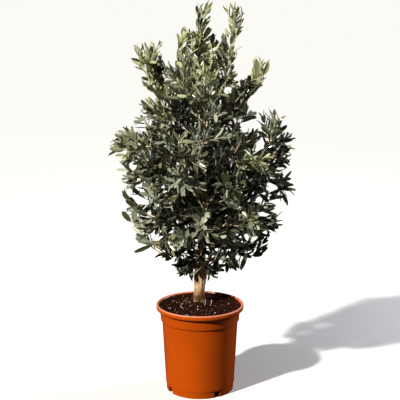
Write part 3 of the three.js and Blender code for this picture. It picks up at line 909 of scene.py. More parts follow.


# The color that a spray's leaves share: dark inside the crown and low down as painted shade, young at its
# top and tips, else by chance
def sprayColor(tip, key):
    turn, out = turnAndOut(tip)
    share = out / reachAt(turn, tip.z)
    inside = 1 - smoothStep(share, *toning["lit"]) * smoothStep(tip.z, *toning["litHeights"])
    high = smoothStep(tip.z, *toning["topHeights"])
    if tip.z < toning["shadeBelow"]:
        return "deep" if chance(63, *key) < toning["deepBelow"] else "mid"
    toSide = abs(tip.x - tree["x"] - tree["lean"])
    sideways = mix(toning["youngInFront"], 1, smoothStep(toSide, *toning["youngSide"]))
    young = mix(*toning["youngShares"], smoothStep(share, *toning["youngReach"]))
    young = young * smoothStep(tip.z, *toning["youngHeights"]) * sideways
    if chance(61, *key) < mix(young * mix(1, toning["youngWithin"], inside), toning["youngAtTop"], high):
        return "young"
    draw = chance(62, *key)
    for name, outside, within, above in leafShares:
        draw -= mix(mix(outside, within, inside), above, high)
        if draw < 0:
            return name
    return "grey"


# Leaves in opposite pairs along a twig. What is named jitter says how far a leaf may differ

leafing = {
    "length": 0.0415,
    "width": 0.0118,
    "lowSize": 1.14,
    "highSize": 0.92,
    "sizeHeights": (0.40, 0.90),
    "tipSize": 0.68,
    "pairSpacing": 0.0138,
    "pairAngle": 50,
    "tipPairAngle": 24,
    "lastPair": 0.985,
    "tries": 3,
    "limbGap": 0.003,
    "turnJitter": 14,
    "retryJitter": 12,
    "angleJitter": 13,
    "lengthJitter": 0.22,
    "widthJitter": 0.16,
    "rollJitter": 34,
    "flippedShare": 0.13,
    "flippedRoll": 150,
    "curl": 0.07,
    "curlJitter": 0.12,
}


# A direction across a heading, turned about it. A steep heading is measured from +Y, others from +Z
def crosswise(heading, turn):
    steep = abs(heading.z) > 0.8
    reference = Vector((0, 1, 0)) if steep else Vector((0, 0, 1))
    side = reference.cross(heading).normalized()
    return Matrix.Rotation(math.radians(turn), 3, heading) @ side


def tilted(heading, side, angle):
    lean = math.radians(angle)
    return (heading * math.cos(lean) + side * math.sin(lean)).normalized()


def leafFits(mass, twig, middle, tip):
    slack = twig["slack"]
    return (insideCrown(tip, slack) and not openSky(middle, slack) and not openSky(tip, slack)
            and insideCell(mass, [middle, tip], twig["mingle"])
            and clearOfLimbs([middle, tip], leafing["limbGap"]))


def leavesOn(mass, twig):
    rule, leaves, bare = leafing, [], twig["bare"]
    pairs = max(1, round(lengthOf(twig["bend"]) * (1 - bare) / rule["pairSpacing"]))
    for pair in range(pairs + 1):
        along = mix(bare, rule["lastPair"], pair / pairs)
        node = pointOn(twig["bend"], along)
        heading = headingOn(twig["bend"], along)
        angle = mass["spread"] * mix(rule["pairAngle"], rule["tipPairAngle"], (pair / pairs) ** 2)
        size = mix(rule["lowSize"], rule["highSize"], smoothStep(node.z, *rule["sizeHeights"]))
        size *= twig["size"] * mix(1, rule["tipSize"], (pair / pairs) ** 3)
        for half in (0, 180):
            for attempt in range(rule["tries"]):
                key = (31, *twig["key"], pair, half, attempt)
                swing = rule["turnJitter"] + rule["retryJitter"] * attempt
                side = crosswise(heading, twig["spin"] + pair * 90 + half + jitter(swing, *key))
                direction = tilted(heading, side, angle + jitter(rule["angleJitter"], *key, 1))
                length = rule["length"] * size * (1 + jitter(rule["lengthJitter"], *key, 2))
                middle = node + direction * (length * 0.5)
                if not leafFits(mass, twig, middle, node + direction * length):
                    continue
                flipped = node.z > toning["shadeBelow"] and chance(*key, 6) < rule["flippedShare"]
                leaves.append({
                    "node": node, "twigHeading": heading, "heading": direction, "length": length,
                    "width": rule["width"] * size * (1 + jitter(rule["widthJitter"], *key, 3)),
                    "roll": jitter(rule["rollJitter"], *key, 4) + (rule["flippedRoll"] if flipped else 0),
                    "curl": rule["curl"] + jitter(rule["curlJitter"], *key, 5),
                    "color": twig["color"],
                })
                break
    return leaves


# The sprays: on each stem side shoots, and on each side shoot finer ones

spray = {
    "tipSlack": 0.014,        # how far the leaves of a stem may pass the crown's outline
    "mingle": 0.010,          # how far the leaves of one mass may reach in among the next one's
    "goldenTurn": 137.5,
    "stemBare": 0.3,
    "stemFoot": 0.0027,
    "stemTip": 0.0012,
    "tries": 5,
    "retryTurn": 61,
    "fewestShoots": 4,
    "fewestLeaves": 4,
    "shootSpacing": 0.0150,
    "sparsest": 0.4,
    "firstShoot": 0.03,
    "lastShoot": 0.88,
    "shootLength": 0.108,
    "lastLength": 0.7,
    "lengthJitter": 0.2,
    "shortestShoot": 0.030,
    "shrink": 0.85,
    "firstShootAngle": 100,
    "lastShootAngle": 42,
    "angleJitter": 9,
    "shootRise": 0.12,
    "sway": 0.1,
    "sag": 0.07,
    "leafReach": 0.5,         # the last leaf's reach past its shoot, as a share of its length
    "footReach": 0.006,
    "limbGap": 0.0015,
    "shootFoot": 0.0016,
    "shootTip": 0.0008,
    "finerSpacing": 0.029,
    "finerLength": 0.058,
    "finerJitter": 0.3,
    "finerAngle": 46,
    "finerTurn": 45,
    "lastFiner": 0.8,
    "finerFoot": 0.0012,
    "finerTip": 0.0008,
    "innerSpacing": 0.030,
    "innerLength": 0.075,
    "innerAngle": 62,
    "innerFrom": 0.385,
}
# The kinds of shoot: the share without leaves, the leaves' size, how short one may be and the radii at
# its foot and tip, and for finer ones where the first starts and the angle. A free one may cross any
# mass and start close to a limb
shootKind = {"bare": 0.24, "size": 1.0, "shortest": 1.0,
             "foot": spray["shootFoot"], "tip": spray["shootTip"]}
finerKind = {"bare": 0.22, "size": 0.88, "shortest": 0.7, "firstFiner": 0.2,
             "angle": spray["finerAngle"], "foot": spray["finerFoot"], "tip": spray["finerTip"]}
innerKind = {"bare": 0.2, "size": 0.95, "shortest": 0.7, "free": True,
             "foot": spray["shootFoot"], "tip": spray["finerTip"]}
outKind = {**finerKind, "free": True, "firstFiner": 0.12, "angle": spray["finerAngle"] * 0.8}
# Added to the numbers of these twigs in their keys, so that no two draws share a key
keyStart = {"finer": 50, "inner": 90, "limb": 100, "out": 150, "lone": 200}


# A shoot that leaves a twig, shortened until it has room, or None
def shootFrom(mass, bend, along, turn, angle, longest, key, kind):
    foot = pointOn(bend, along)
    heading = headingOn(bend, along)
    outward = tilted(heading, crosswise(heading, turn), angle)
    outward.z += spray["shootRise"]
    outward.normalize()
    length = longest
    free = kind.get("free")
    mingle = anywhere if free else spray["mingle"]
    while length > spray["shortestShoot"] * kind["shortest"]:
        tip = foot + outward * length
        middle = (foot + tip) / 2
        leafTip = foot + outward * (length + leafing["length"] * spray["leafReach"])
        nearFoot = [] if free else [foot + outward * spray["footReach"]]
        fits = (insideCrown(leafTip, 0) and not openSky(middle) and not openSky(leafTip)
                and insideCell(mass, [middle, tip], mingle / 2)
                and clearOfLimbs([*nearFoot, middle, tip], spray["limbGap"]))
        if fits:
            sway = [jitter(spray["sway"], *key, axis) for axis in (7, 8)]
            lean = middle + Vector((*sway, -spray["sag"])) * length
            return {"bend": (foot, lean, tip), "bare": kind["bare"], "size": kind["size"],
                    "key": key, "spin": 360 * chance(*key, 3), "slack": 0, "mingle": mingle,
                    "color": sprayColor(tip, key), "foot": kind["foot"], "tip": kind["tip"]}
        length *= spray["shrink"]
    return None


# Finer shoots along a shoot, in its color, each within its own step of the shoot's span
def growFiner(mass, shoot, count, step, span, kind):
    twigs, leaves = [], []
    for branch in range(count):
        key = (*shoot["key"][:2], keyStart["finer"] + branch)
        along = (branch + chance(43, *key)) * step / span
        place = mix(kind["firstFiner"], spray["lastFiner"], along)
        reach = spray["finerLength"] * (1 + jitter(spray["finerJitter"], *key, 2))
        turn = shoot["spin"] + spray["finerTurn"] + branch * spray["goldenTurn"]
        twig = shootFrom(mass, shoot["bend"], place, turn, kind["angle"], reach, key, kind)
        if twig:
            twig["color"] = shoot["color"]
            twigs.append(twig)
            leaves += leavesOn(mass, twig)
    return twigs, leaves


def growMass(mass):
    number, share = mass["number"], mass["shootShare"]
    stem = {"bend": mass["stem"], "bare": spray["stemBare"], "size": 1.0, "key": (number, 0),
            "slack": spray["tipSlack"], "mingle": spray["mingle"],
            "spin": 360 * chance(41, number), "color": sprayColor(mass["stem"][2], (number, 0)),
            "foot": spray["stemFoot"], "tip": spray["stemTip"]}
    twigs, finer, leaves = [stem], [], leavesOn(mass, stem)
    room = lengthOf(mass["stem"]) / spray["shootSpacing"]
    count = max(spray["fewestShoots"], round(room * mix(spray["sparsest"], 1, share)))
    for shoot in range(1, count + 1):
        for attempt in range(spray["tries"]):
            key = (number, shoot, attempt)
            place = (shoot - 1 + chance(42, *key)) / count
            along = mix(spray["firstShoot"], spray["lastShoot"], place)
            turn = stem["spin"] + shoot * spray["goldenTurn"] + attempt * spray["retryTurn"]
            angle = mass["spread"] * mix(spray["firstShootAngle"], spray["lastShootAngle"], along)
            angle += jitter(spray["angleJitter"], *key, 1)
            longest = spray["shootLength"] * share * mix(1, spray["lastLength"], along)
            longest *= 1 + jitter(spray["lengthJitter"], *key, 2)
            made = shootFrom(mass, mass["stem"], along, turn, angle, longest, key, shootKind)
            own = leavesOn(mass, made) if made else []
            if len(own) < spray["fewestLeaves"]:
                continue
            size = lengthOf(made["bend"])
            branches = round(size / spray["finerSpacing"])
            finest, finestLeaves = growFiner(mass, made, branches, spray["finerSpacing"], size, finerKind)
            twigs.append(made)
            finer += finest
            leaves += own + finestLeaves
            break
    return twigs, finer, leaves


# Short leafy shoots along the leaders and boughs inside the crown, their deep leaves a painted shade
def growInside(limbNumber, bend):
    twigs, leaves = [], []
    loose = {"number": 1, "spread": 1}
    count = round(lengthOf(bend) / spray["innerSpacing"])
    for k in range(count):
        key = (limbNumber, keyStart["inner"] + k, 0)
        along = (k + chance(51, *key)) / count
        if pointOn(bend, along).z < spray["innerFrom"]:
            continue
        turn = 360 * chance(52, limbNumber) + k * spray["goldenTurn"]
        reach = spray["innerLength"] * (1 + jitter(spray["finerJitter"], *key, 2))
        twig = shootFrom(loose, bend, along, turn, spray["innerAngle"], reach, key, innerKind)
        if twig:
            twig["color"] = "deep"
            twigs.append(twig)
            leaves += leavesOn(loose, twig)
    return twigs, leaves


def nearestJoint(twigs, steps, place):
    joints = [pointOn(twig["bend"], k / steps) for twig in twigs for k in range(2, steps + 1)]
    return min(joints, key=lambda joint: (joint - place).length)


# Shoots that stand out in the front view, placed to the nearest 5 mm: the tip to the right and
# up, the foot to the right and up, and how far back they grow, where that isn't in line with the pot
outShoots = [
    (-0.170, 0.940, -0.140, 0.820), (-0.135, 0.945, -0.125, 0.830),
    (-0.050, 0.990, -0.025, 0.900), (-0.160, 0.785, -0.115, 0.770), (-0.240, 0.720, -0.170, 0.660),
    (-0.255, 0.665, -0.190, 0.620), (-0.210, 0.545, -0.140, 0.540), (-0.215, 0.495, -0.145, 0.540),
    (-0.005, 1.050, 0.010, 0.945), (0.015, 1.050, 0.015, 0.955),
    (0.090, 1.045, 0.080, 0.925), (0.115, 1.030, 0.085, 0.955), (0.145, 0.905, 0.105, 0.800),
    (0.180, 0.900, 0.120, 0.800), (0.195, 0.775, 0.165, 0.690), (0.220, 0.770, 0.175, 0.680),
    (0.245, 0.700, 0.180, 0.645), (0.235, 0.665, 0.165, 0.625), (0.250, 0.555, 0.170, 0.575),
    (0.225, 0.465, 0.165, 0.515), (0.175, 0.385, 0.125, 0.425), (-0.010, 0.985, 0.010, 0.905),
    (0.105, 0.925, 0.085, 0.880), (-0.165, 0.435, -0.105, 0.420, -0.020),
    (-0.030, 0.310, -0.010, 0.370, 0.015), (-0.060, 0.345, -0.035, 0.390, 0.020),
    (-0.010, 0.340, 0.005, 0.385, -0.050), (0.030, 0.325, 0.020, 0.380, -0.020),
    (0.050, 0.330, 0.040, 0.380, 0.010), (-0.045, 0.350, -0.025, 0.400, 0.030),
    (0.085, 0.350, 0.055, 0.400, -0.020), (0.105, 0.355, 0.075, 0.400, 0.020),
    (0.105, 0.335, 0.110, 0.395, -0.030), (-0.050, 0.330, -0.020, 0.380, 0.000),
    (0.010, 0.345, 0.015, 0.400, -0.060),
    (0.025, 0.770, 0.010, 0.700, -0.070), (0.005, 0.750, 0.025, 0.680, -0.060),
    (0.035, 0.735, 0.010, 0.665, -0.080), (0.020, 0.715, 0.020, 0.650, -0.070),
]
outRule = {
    "spread": 0.8,
    "slack": 0.010,
    "bare": 0.2,
    "girth": 0.8,
    "footJitter": 0.03,
    "depthShare": 0.6,
    "tipJitter": 0.02,
    "leafShare": 0.4,
    "bow": 0.10,
    "sag": 0.06,
}


# A leafy shoot from the nearest stem to the place that its tip should have
def growOut(number, x, z, footX, footZ, depth=0):
    rule, key = outRule, (keyStart["out"] + number, 0, 0)
    hint = Vector((footX, depth + jitter(rule["footJitter"], *key, 1), footZ))
    foot = nearestJoint(stems, 10, hint)
    y = mix(foot.y, depth, rule["depthShare"]) + jitter(rule["tipJitter"], *key, 2)
    tip = Vector((x, y, z))
    tip -= (tip - foot).normalized() * (leafing["length"] * rule["leafShare"])
    length = (tip - foot).length
    outward = rule["bow"] * length * (1 if x > footX else -1)
    middle = (foot + tip) / 2 + Vector((outward, 0, -rule["sag"] * length))
    loose = {"number": 1, "spread": rule["spread"]}
    twig = {"bend": (foot, middle, tip), "bare": rule["bare"], "size": 1.0, "key": key,
            "slack": rule["slack"], "mingle": anywhere, "spin": 360 * chance(*key, 3),
            "color": sprayColor(tip, key),
            "foot": spray["stemFoot"] * rule["girth"], "tip": spray["shootTip"]}
    branches = round(length / spray["finerSpacing"])
    own = leavesOn(loose, twig)
    finer, finerLeaves = growFiner(loose, twig, branches, 1, branches, outKind)
    return [twig] + finer, own + finerLeaves


# Leaves that stand out singly in the front view, read off to the nearest 5 mm:
# the leaf's foot to the right and up, its tip to the right and up, and its color
loneLeaves = [
    (-0.125, 0.410, -0.180, 0.385, "mid"), (0.085, 0.385, 0.105, 0.340, "mid"),
    (0.130, 0.390, 0.110, 0.335, "sage"), (-0.185, 0.470, -0.210, 0.500, "mid"),
    (-0.180, 0.470, -0.175, 0.500, "sage"), (0.150, 0.855, 0.150, 0.905, "sage"),
    (0.165, 0.865, 0.180, 0.900, "young"), (0.055, 0.830, 0.085, 0.855, "deep"),
    (0.030, 0.945, 0.035, 0.975, "deep"), (0.150, 0.420, 0.175, 0.430, "mid"),
]
loneRule = {
    "depth": -0.05,
    "width": 1.15,
    "widthJitter": 0.12,
    "rollJitter": 30,
    "curl": 0.05,
}


# A bare twig from the nearest shoot, and one leaf that turns its face to the viewer
def growLone(number, footX, footZ, x, z, color):
    rule, key = loneRule, (keyStart["lone"] + number, 0, 0)
    joint = nearestJoint(shoots, 6, Vector((footX, rule["depth"], footZ)))
    farness = 1 + joint.y / front["eyeDistance"]
    foot, tip = (Vector((right * farness, joint.y, mix(front["eyeHeight"], up, farness)))
                 for right, up in ((footX, footZ), (x, z)))
    twig = {"bend": (joint, (joint + foot) / 2, foot), "foot": spray["shootFoot"], "tip": spray["finerTip"]}
    leaf = {
        "node": foot, "twigHeading": Vector((0, -1, 0)), "heading": (tip - foot).normalized(),
        "length": (tip - foot).length,
        "width": leafing["width"] * (rule["width"] + jitter(rule["widthJitter"], *key, 1)),
        "roll": jitter(rule["rollJitter"], *key, 2), "curl": rule["curl"], "color": color,
    }
    return [twig], [leaf]


stems, shoots, allLeaves = [], [], []


def keep(twigs, leaves):
    shoots.extend(twigs)
    allLeaves.extend(leaves)


for mass in masses:
    twigs, finer, leaves = growMass(mass)
    stems.append(twigs[0])
    keep(twigs[1:] + finer, leaves)
for number, name in enumerate(limbs):
    if name != "trunk":
        keep(*growInside(keyStart["limb"] + number, limbs[name]["bend"]))
for number, places in enumerate(outShoots):
    keep(*growOut(number, *places))
for number, places in enumerate(loneLeaves):
    keep(*growLone(number, *places))
print("grown:", len(stems), "stems,", len(shoots), "shoots,", len(allLeaves), "leaves")


# The leaf: modelled once, one unit long and one wide, with a fold along its midrib and a thickness

leafShape = {
    "rows": (0.0, 0.07, 0.27, 0.58, 0.86, 1.0),
    "widths": (0.11, 0.18, 0.80, 1.0, 0.74, 0.10),
    "fold": 0.17,
    "thickness": 0.05,
}


def modelLeaf():
    rows = len(leafShape["rows"]) - 1
    deselectAll()
    bpy.ops.mesh.primitive_grid_add(x_subdivisions=2, y_subdivisions=rows, size=1)
    piece = bpy.context.object
    for vertex in piece.data.vertices:
        row = round((vertex.co.y + 0.5) * rows)
        width = leafShape["widths"][row]
        side = vertex.co.x * 2
        vertex.co = (side * width / 2, leafShape["rows"][row], abs(side) * width * leafShape["fold"])
    piece.data.materials.append(leafUpper["mid"])
    piece.data.materials.append(finishes["leafUnderside"])
    shell = piece.modifiers.new("thickness", "SOLIDIFY")
    shell.thickness = leafShape["thickness"]
    shell.offset = 0
    shell.material_offset = 1
    shell.material_offset_rim = 1
    applyModifiers(piece)
    return takeShape(piece)


leafPoints, leafFaces, leafSides = modelLeaf()


def leafPiece(name, leaves, materials):
    def columnOf(key):
        return np.array([item[key] for item in leaves])

    headings = columnOf("heading")
    across = np.cross(columnOf("twigHeading"), headings)
    across /= np.linalg.norm(across, axis=1)[:, None]
    faces = np.cross(headings, across)
    roll = np.radians(columnOf("roll"))[:, None]
    across, faces = (across * np.cos(roll) + faces * np.sin(roll),
                     faces * np.cos(roll) - across * np.sin(roll))
    length, width, curl = (columnOf(key)[:, None] for key in ("length", "width", "curl"))
    x = leafPoints[None, :, 0] * width
    y = leafPoints[None, :, 1] * length
    z = leafPoints[None, :, 2] * width - curl * length * leafPoints[None, :, 1] ** 2
    points = (columnOf("node")[:, None, :] + across[:, None, :] * x[..., None]
              + headings[:, None, :] * y[..., None] + faces[:, None, :] * z[..., None])
    shifts = (np.arange(len(leaves)) * len(leafPoints))[:, None, None]
    quads = (leafFaces[None] + shifts).reshape(-1, 4)
    piece = meshPiece(name, points.reshape(-1, 3), quads, materials)
    piece.data.polygons.foreach_set("material_index", np.tile(leafSides, len(leaves)))
    shadeSmooth(piece, 60)
    return finishPiece(piece, name, foliageNodes)


undersides = {"young": "youngLeafUnderside", "deep": "paintedShadeLeafUnderside"}
for colorName in leafColors:
    chosen = [item for item in allLeaves if item["color"] == colorName]
    under = finishes[undersides.get(colorName, "leafUnderside")]
    leafPiece("leaves_" + colorName, chosen, [leafUpper[colorName], under])
    print("leaves", colorName, len(chosen))


# The twigs: tubes that taper towards their tips

def twigPath(twig, steps):
    return [(pointOn(twig["bend"], k / steps), mix(twig["foot"], twig["tip"], k / steps))
            for k in range(steps + 1)]


for name, twigs, steps, finish in (("stems", stems, 8, "stemBark"), ("shoots", shoots, 3, "shootBark")):
    paths = [twigPath(twig, steps) for twig in twigs]
    tubePiece(name, paths, 1, finishes[finish], foliageNodes)
print("twigs made")


# The trunk, leaders and boughs: tubes melted into one skin, with the bark's relief worked into it

bark = {
    "trunkSteps": 24,
    "limbSteps": 16,
    "roundness": 6,
    "forkStops": (0, 0.03, 0.06, 0.09),    # along the middle leader, where it thickens to the fork
    "forkEndRadius": 0.0074,
    "girth": 1.13,
    "sunk": 0.006,
    "sunkGirth": 1.06,
    "voxel": 0.0013,
    "smoothing": 5,
    "ridge": 0.0010,
    "ridgesAround": 330,
    "ridgesUp": 62,
    "lump": 0.0011,
    "lumpsAround": 75,
    "lumpsUp": 42,
    "lumpShift": 5,
    "reliefTop": 0.62,        # the relief fades over the stretch below this height, down to the least
    "reliefFade": 0.3,
    "leastRelief": 0.25,
    "roots": 3,
    "rootTurn": 0.7,
    "rootRidge": 0.0022,
    "rootHeight": 0.009,
}


def limbPath(name, steps):
    bend = limbs[name]["bend"]
    path = [(pointOn(bend, k / steps), limbRadius(name, k / steps)) for k in range(steps + 1)]
    if name == "trunk":
        above = tree["ground"] + tree["flareHeight"]
        path = [(point, radius * mix(1, bark["girth"], smoothStep(point.z, tree["ground"], above)))
                for point, radius in path]
        foot, radius = path[0]
        path.insert(0, (foot - Vector((0, 0, bark["sunk"])), radius * bark["sunkGirth"]))
    return path


# The middle leader's foot again, thick enough to leave the fork without a step
def forkPath():
    bend, stops = limbs["leader_middle"]["bend"], bark["forkStops"]
    return [(pointOn(bend, t), mix(tree["topRadius"], bark["forkEndRadius"], t / stops[-1]))
            for t in stops]


# Ridges and lumps all over, fainter higher up, and low root ridges round the foot
def roughenBark(piece):
    points = np.array([vertex.co[:] for vertex in piece.data.vertices])
    normals = np.array([vertex.normal[:] for vertex in piece.data.vertices])
    relief = np.clip((bark["reliefTop"] - points[:, 2]) / bark["reliefFade"], bark["leastRelief"], 1)
    ridgesAround, ridgesUp = bark["ridgesAround"], bark["ridgesUp"]
    lumpsAround, lumpsUp = bark["lumpsAround"], bark["lumpsUp"]
    for i, (x, y, z) in enumerate(points):
        ridgePlace = Vector((x * ridgesAround, y * ridgesAround, z * ridgesUp))
        lumpPlace = Vector((x * lumpsAround, y * lumpsAround, z * lumpsUp + bark["lumpShift"]))
        ridges = noise.fractal(ridgePlace, 1.0, 2.0, 3)    # falloff, gap and number of octaves
        lift = (ridges * bark["ridge"] + noise.noise(lumpPlace) * bark["lump"]) * relief[i]
        turn = math.atan2(y - tree["y"], x - tree["x"])
        foot = math.exp(-max(0, z - tree["ground"]) / bark["rootHeight"])
        lift += bark["rootRidge"] * foot * math.cos(bark["roots"] * turn + bark["rootTurn"])
        points[i] += normals[i] * lift
    piece.data.vertices.foreach_set("co", points.ravel())
    piece.data.update()


def smoothAllOver(piece):
    for face in piece.data.polygons:
        face.use_smooth = True


def makeBark():
    paths = [limbPath(name, bark["trunkSteps" if name == "trunk" else "limbSteps"]) for name in limbs]
    piece = tubes("bark", paths + [forkPath()], bark["roundness"])
    skin = piece.modifiers.new("skin", "REMESH")
    skin.mode = "VOXEL"
    skin.voxel_size = bark["voxel"]
    relax = piece.modifiers.new("relax", "SMOOTH")
    relax.factor = 0.5
    relax.iterations = bark["smoothing"]
    applyModifiers(piece)
    roughenBark(piece)
    piece.data.materials.clear()
    piece.data.materials.append(finishes["bark"])
    smoothAllOver(piece)
    print("bark has", len(piece.data.polygons), "faces")
    return finishPiece(piece, "barkedLimbs", limbNodes)


makeBark()
print("limbs made")


# The potting soil: an uneven surface with a low mound, crumbs, chips of bark and perlite on it

soil = {
    "edge": 0.2365,
    "moundTop": 0.2455,
    "moundRadius": 0.058,
    "peakRadius": 0.020,
    "backRise": 0.0022,
    "backRiseFrom": 0.01,
    "backRiseTo": 0.09,
    "clods": 42,              # to a metre, as the grains are
    "clodHeight": 0.0016,
    "clodShift": 2,
    "grains": 210,
    "grainHeight": 0.0011,
    "grainShift": 9,
    "rings": 56,
    "sides": 128,
    "gap": 0.0004,
    "levelWithin": 0.0001,    # what lies this near to the edge's height is surface
}


def soilHeight(x, y):
    out = math.hypot(x - tree["x"], y - tree["y"])
    mound = smoothStep(soil["moundRadius"] - out, 0, soil["moundRadius"] - soil["peakRadius"])
    height = mix(soil["edge"], soil["moundTop"], mound)
    rise = smoothStep(y, soil["backRiseFrom"], soil["backRiseTo"])
    height += soil["backRise"] * rise * (1 - mound)
    clods = Vector((x * soil["clods"], y * soil["clods"], soil["clodShift"]))
    height += noise.fractal(clods, 0.8, 2.0, 3) * soil["clodHeight"]
    grains = Vector((x * soil["grains"], y * soil["grains"], soil["grainShift"]))
    return height + noise.noise(grains) * soil["grainHeight"]


# How far out the soil reaches: up the slope inside the lip
def soilEdgeRadius():
    under = pot["height"] - pot["lipHeight"]
    share = (soil["edge"] - under) / pot["lipHeight"]
    throat = pot["collarTop"] - pot["wall"] + pot["throat"]
    return mix(throat, pot["rimRadius"] - pot["lipWidth"], share) - soil["gap"]


def makeSoil():
    gap = soil["gap"]
    inward = pot["wall"] + gap
    edge = soilEdgeRadius()
    corners = [
        (0, pot["floor"] + gap),
        (pot["heel"] - inward, pot["floor"] + gap),
        (pot["bodyBottom"] - inward, pot["bodyStart"]),
        (pot["bodyTop"] - inward, pot["collarHeight"] - pot["stepHeight"] - pot["stepInside"] * 2),
        (pot["collarBottom"] - inward, pot["collarHeight"] + pot["stepInside"] * 2),
        (pot["collarTop"] - inward, pot["height"] - pot["lipHeight"]),
    ]
    corners += [(edge * (1 - k / soil["rings"]), soil["edge"]) for k in range(soil["rings"] + 1)]
    piece = spinProfile([Vector(corner) for corner in corners], soil["sides"])
    for vertex in piece.data.vertices:
        if vertex.co.z > soil["edge"] - soil["levelWithin"]:
            vertex.co.z = soilHeight(vertex.co.x, vertex.co.y)
    piece.data.materials.append(finishes["soil"])
    smoothAllOver(piece)
    return finishPiece(piece, "pottingSoil", ["potting_soil"])


# What lies on the soil: how many of each, the smallest and the largest radius, and the height as a
# share of it. What has a heap lies round that place, within about the spread given
litter = [
    {"name": "soilCrumbs", "count": 1500, "sizes": (0.0009, 0.0034), "flatness": 0.62,
     "finish": "soilCrumb", "seed": 3},
    {"name": "barkChips", "count": 300, "sizes": (0.0014, 0.0048), "flatness": 0.34,
     "finish": "barkChip", "seed": 4},
    {"name": "mossyLumps", "count": 26, "sizes": (0.0025, 0.0060), "flatness": 0.62,
     "finish": "mossyLump", "seed": 5, "heap": (-0.034, 0.018), "spread": 0.011},
    {"name": "perlite", "count": 56, "sizes": (0.0007, 0.0019), "flatness": 0.8,
     "finish": "perlite", "seed": 6},
]
crumb = {
    "shapes": 4,
    "unevenness": 0.32,
    "edgeMargin": 0.003,
    "trunkMargin": 0.001,
    "fewLarge": 2.2,          # the higher, the fewer large ones
    "lengths": (0.7, 1.5),
    "widths": (0.5, 1),
    "tilt": 0.35,
    "lift": 0.3,
}


def modelCrumb(seed):
    deselectAll()
    bpy.ops.mesh.primitive_ico_sphere_add(subdivisions=1, radius=1)
    piece = bpy.context.object
    dice = random.Random(seed)
    for vertex in piece.data.vertices:
        vertex.co *= 1 + dice.uniform(-crumb["unevenness"], crumb["unevenness"])
    return takeShape(piece)[:2]


def scatter(name, count, sizes, flatness, finish, seed, heap=None, spread=0):
    dice = random.Random(seed)
    shapes = [modelCrumb(seed * 10 + k) for k in range(crumb["shapes"])]
    limit = soilEdgeRadius() - crumb["edgeMargin"]
    points, faces = [], []
    while len(points) < count:
        turn = dice.uniform(0, math.tau)
        out = limit * math.sqrt(dice.random())
        x, y = out * math.cos(turn), out * math.sin(turn)
        if heap:
            x, y = heap[0] + dice.gauss(0, spread), heap[1] + dice.gauss(0, spread)
        toTrunk = math.hypot(x - tree["x"], y - tree["y"])
        if toTrunk < tree["baseRadius"] + crumb["trunkMargin"] or math.hypot(x, y) > limit:
            continue
        size = mix(*sizes, dice.random() ** crumb["fewLarge"])
        shape, shapeFaces = shapes[dice.randrange(len(shapes))]
        long, wide = dice.uniform(*crumb["lengths"]), dice.uniform(*crumb["widths"])
        scaled = shape * (size * long, size * wide, size * flatness)
        tiltX, tiltY = (Matrix.Rotation(dice.gauss(0, crumb["tilt"]), 3, axis) for axis in "XY")
        turned = np.array(Matrix.Rotation(dice.uniform(0, math.tau), 3, "Z") @ (tiltX @ tiltY))
        height = soilHeight(x, y) + size * flatness * crumb["lift"]
        faces.append(shapeFaces + len(points) * len(shape))
        points.append(scaled @ turned.T + (x, y, height))
    piece = meshPiece(name, np.concatenate(points), np.concatenate(faces), [finishes[finish]])
    shadeSmooth(piece, 40)
    return finishPiece(piece, name, ["potting_soil"])


rootlets = {
    "bends": (((0.0105, 0.034, 0), (0.019, 0.010, 0), (0.012, -0.022, 0)),
              ((0.030, 0.030, 0), (0.036, 0.004, 0), (0.027, -0.016, 0)),
              ((-0.046, 0.010, 0), (-0.060, -0.016, 0), (-0.044, -0.038, 0))),
    "steps": 12,
    "arch": 0.0045,
    "sunk": 0.0006,
    "footRadius": 0.0009,
    "tipRadius": 0.0005,
}


def rootletPath(bend):
    path = []
    for k in range(rootlets["steps"] + 1):
        t = k / rootlets["steps"]
        point = pointOn([Vector(place) for place in bend], t)
        arch = rootlets["arch"] * math.sin(math.pi * t) - rootlets["sunk"]
        point.z = soilHeight(point.x, point.y) + arch
        path.append((point, mix(rootlets["footRadius"], rootlets["tipRadius"], t)))
    return path


makeSoil()
for kind in litter:
    scatter(**kind)
rootletPaths = [rootletPath(bend) for bend in rootlets["bends"]]
tubePiece("rootlets", rootletPaths, 2, finishes["rootlet"], ["potting_soil"])
print("soil made")


# The stage: a pale floor, soft light from the upper left and the photo's camera

stage = {
    "floorSize": 120,
    "floorColor": (0.82, 0.835, 0.86),
    "bounceColor": (0.05, 0.05, 0.045),
    "skyColor": (0.93, 0.97, 1.0),
    "skyStrength": 0.02,
    "skyShown": 0.95,
    "sunTurn": 46,        # to the viewer's left of straight ahead
    "sunHeight": 35,
    "sunStrength": 6.4,
    "sunAngle": 3,
    "sunColor": (1.0, 0.965, 0.89),
    "softboxes": (
        {"place": (-0.4, -0.5, 2.6), "size": 1.6, "power": 2},
        {"place": (2.2, 0.7, 1.4), "size": 1.2, "power": 50},
    ),
    "softboxAim": (0, 0, 0.5),
    "cameraPitch": 11.87,
    "lens": 95.85,
}


# The camera sees one shader of the floor or sky, and a second one gives the light that falls on the plant
def splitByRay(graph, bounced, seen, output):
    isSeen = graph.nodes.new("ShaderNodeLightPath").outputs["Is Camera Ray"]
    blend = addNode(graph, "ShaderNodeMixShader", {0: isSeen, 1: bounced.outputs[0], 2: seen.outputs[0]})
    graph.links.new(blend.outputs[0], graph.nodes[output].inputs["Surface"])


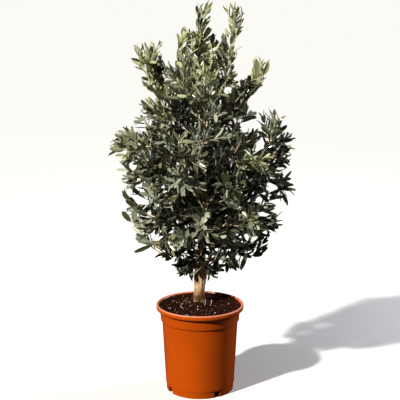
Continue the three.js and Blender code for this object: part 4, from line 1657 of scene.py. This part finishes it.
def makeFloor():
    deselectAll()
    bpy.ops.mesh.primitive_plane_add(size=stage["floorSize"])
    floor = bpy.context.object
    floor.name = "floor"
    material = bpy.data.materials.new("floor")
    material.use_nodes = True
    graph = material.node_tree
    graph.nodes.remove(graph.nodes["Principled BSDF"])
    bounced, seen = (addNode(graph, "ShaderNodeBsdfDiffuse", {"Color": (*stage[name], 1)})
                     for name in ("bounceColor", "floorColor"))
    splitByRay(graph, bounced, seen, "Material Output")
    floor.data.materials.append(material)


def makeSky():
    world = bpy.data.worlds.new("sky")
    world.use_nodes = True
    graph = world.node_tree
    light = graph.nodes["Background"]
    light.inputs["Color"].default_value = (*stage["skyColor"], 1)
    light.inputs["Strength"].default_value = stage["skyStrength"]
    shown = addNode(graph, "ShaderNodeBackground", {
        "Color": (1, 1, 1, 1), "Strength": stage["skyShown"],
    })
    splitByRay(graph, light, shown, "World Output")
    bpy.context.scene.world = world


def aimLight(lamp, towardsLight):
    lamp.rotation_mode = "QUATERNION"
    lamp.rotation_quaternion = towardsLight.to_track_quat("Z", "Y")


def makeSun():
    deselectAll()
    bpy.ops.object.light_add(type="SUN", location=(-2, -2, 3))
    sun = bpy.context.object
    turn, height = math.radians(stage["sunTurn"]), math.radians(stage["sunHeight"])
    aimLight(sun, Vector((-math.sin(turn) * math.cos(height), -math.cos(turn) * math.cos(height),
                          math.sin(height))))
    sun.data.energy = stage["sunStrength"]
    sun.data.angle = math.radians(stage["sunAngle"])
    sun.data.color = stage["sunColor"]


def makeSoftbox(place, size, power):
    deselectAll()
    bpy.ops.object.light_add(type="AREA", location=place)
    softbox = bpy.context.object
    aimLight(softbox, Vector(place) - Vector(stage["softboxAim"]))
    softbox.data.size = size
    softbox.data.energy = power


def makeCamera():
    deselectAll()
    place = (0, -front["eyeDistance"], front["eyeHeight"])
    tilt = (math.radians(90 - stage["cameraPitch"]), 0, 0)
    bpy.ops.object.camera_add(location=place, rotation=tilt)
    camera = bpy.context.object
    camera.data.lens = stage["lens"]
    camera.data.clip_end = 300
    bpy.context.scene.camera = camera


makeFloor()
makeSky()
makeSun()
for softbox in stage["softboxes"]:
    makeSoftbox(**softbox)
makeCamera()
bpy.context.scene.view_settings.view_transform = "Standard"
print("stage made")
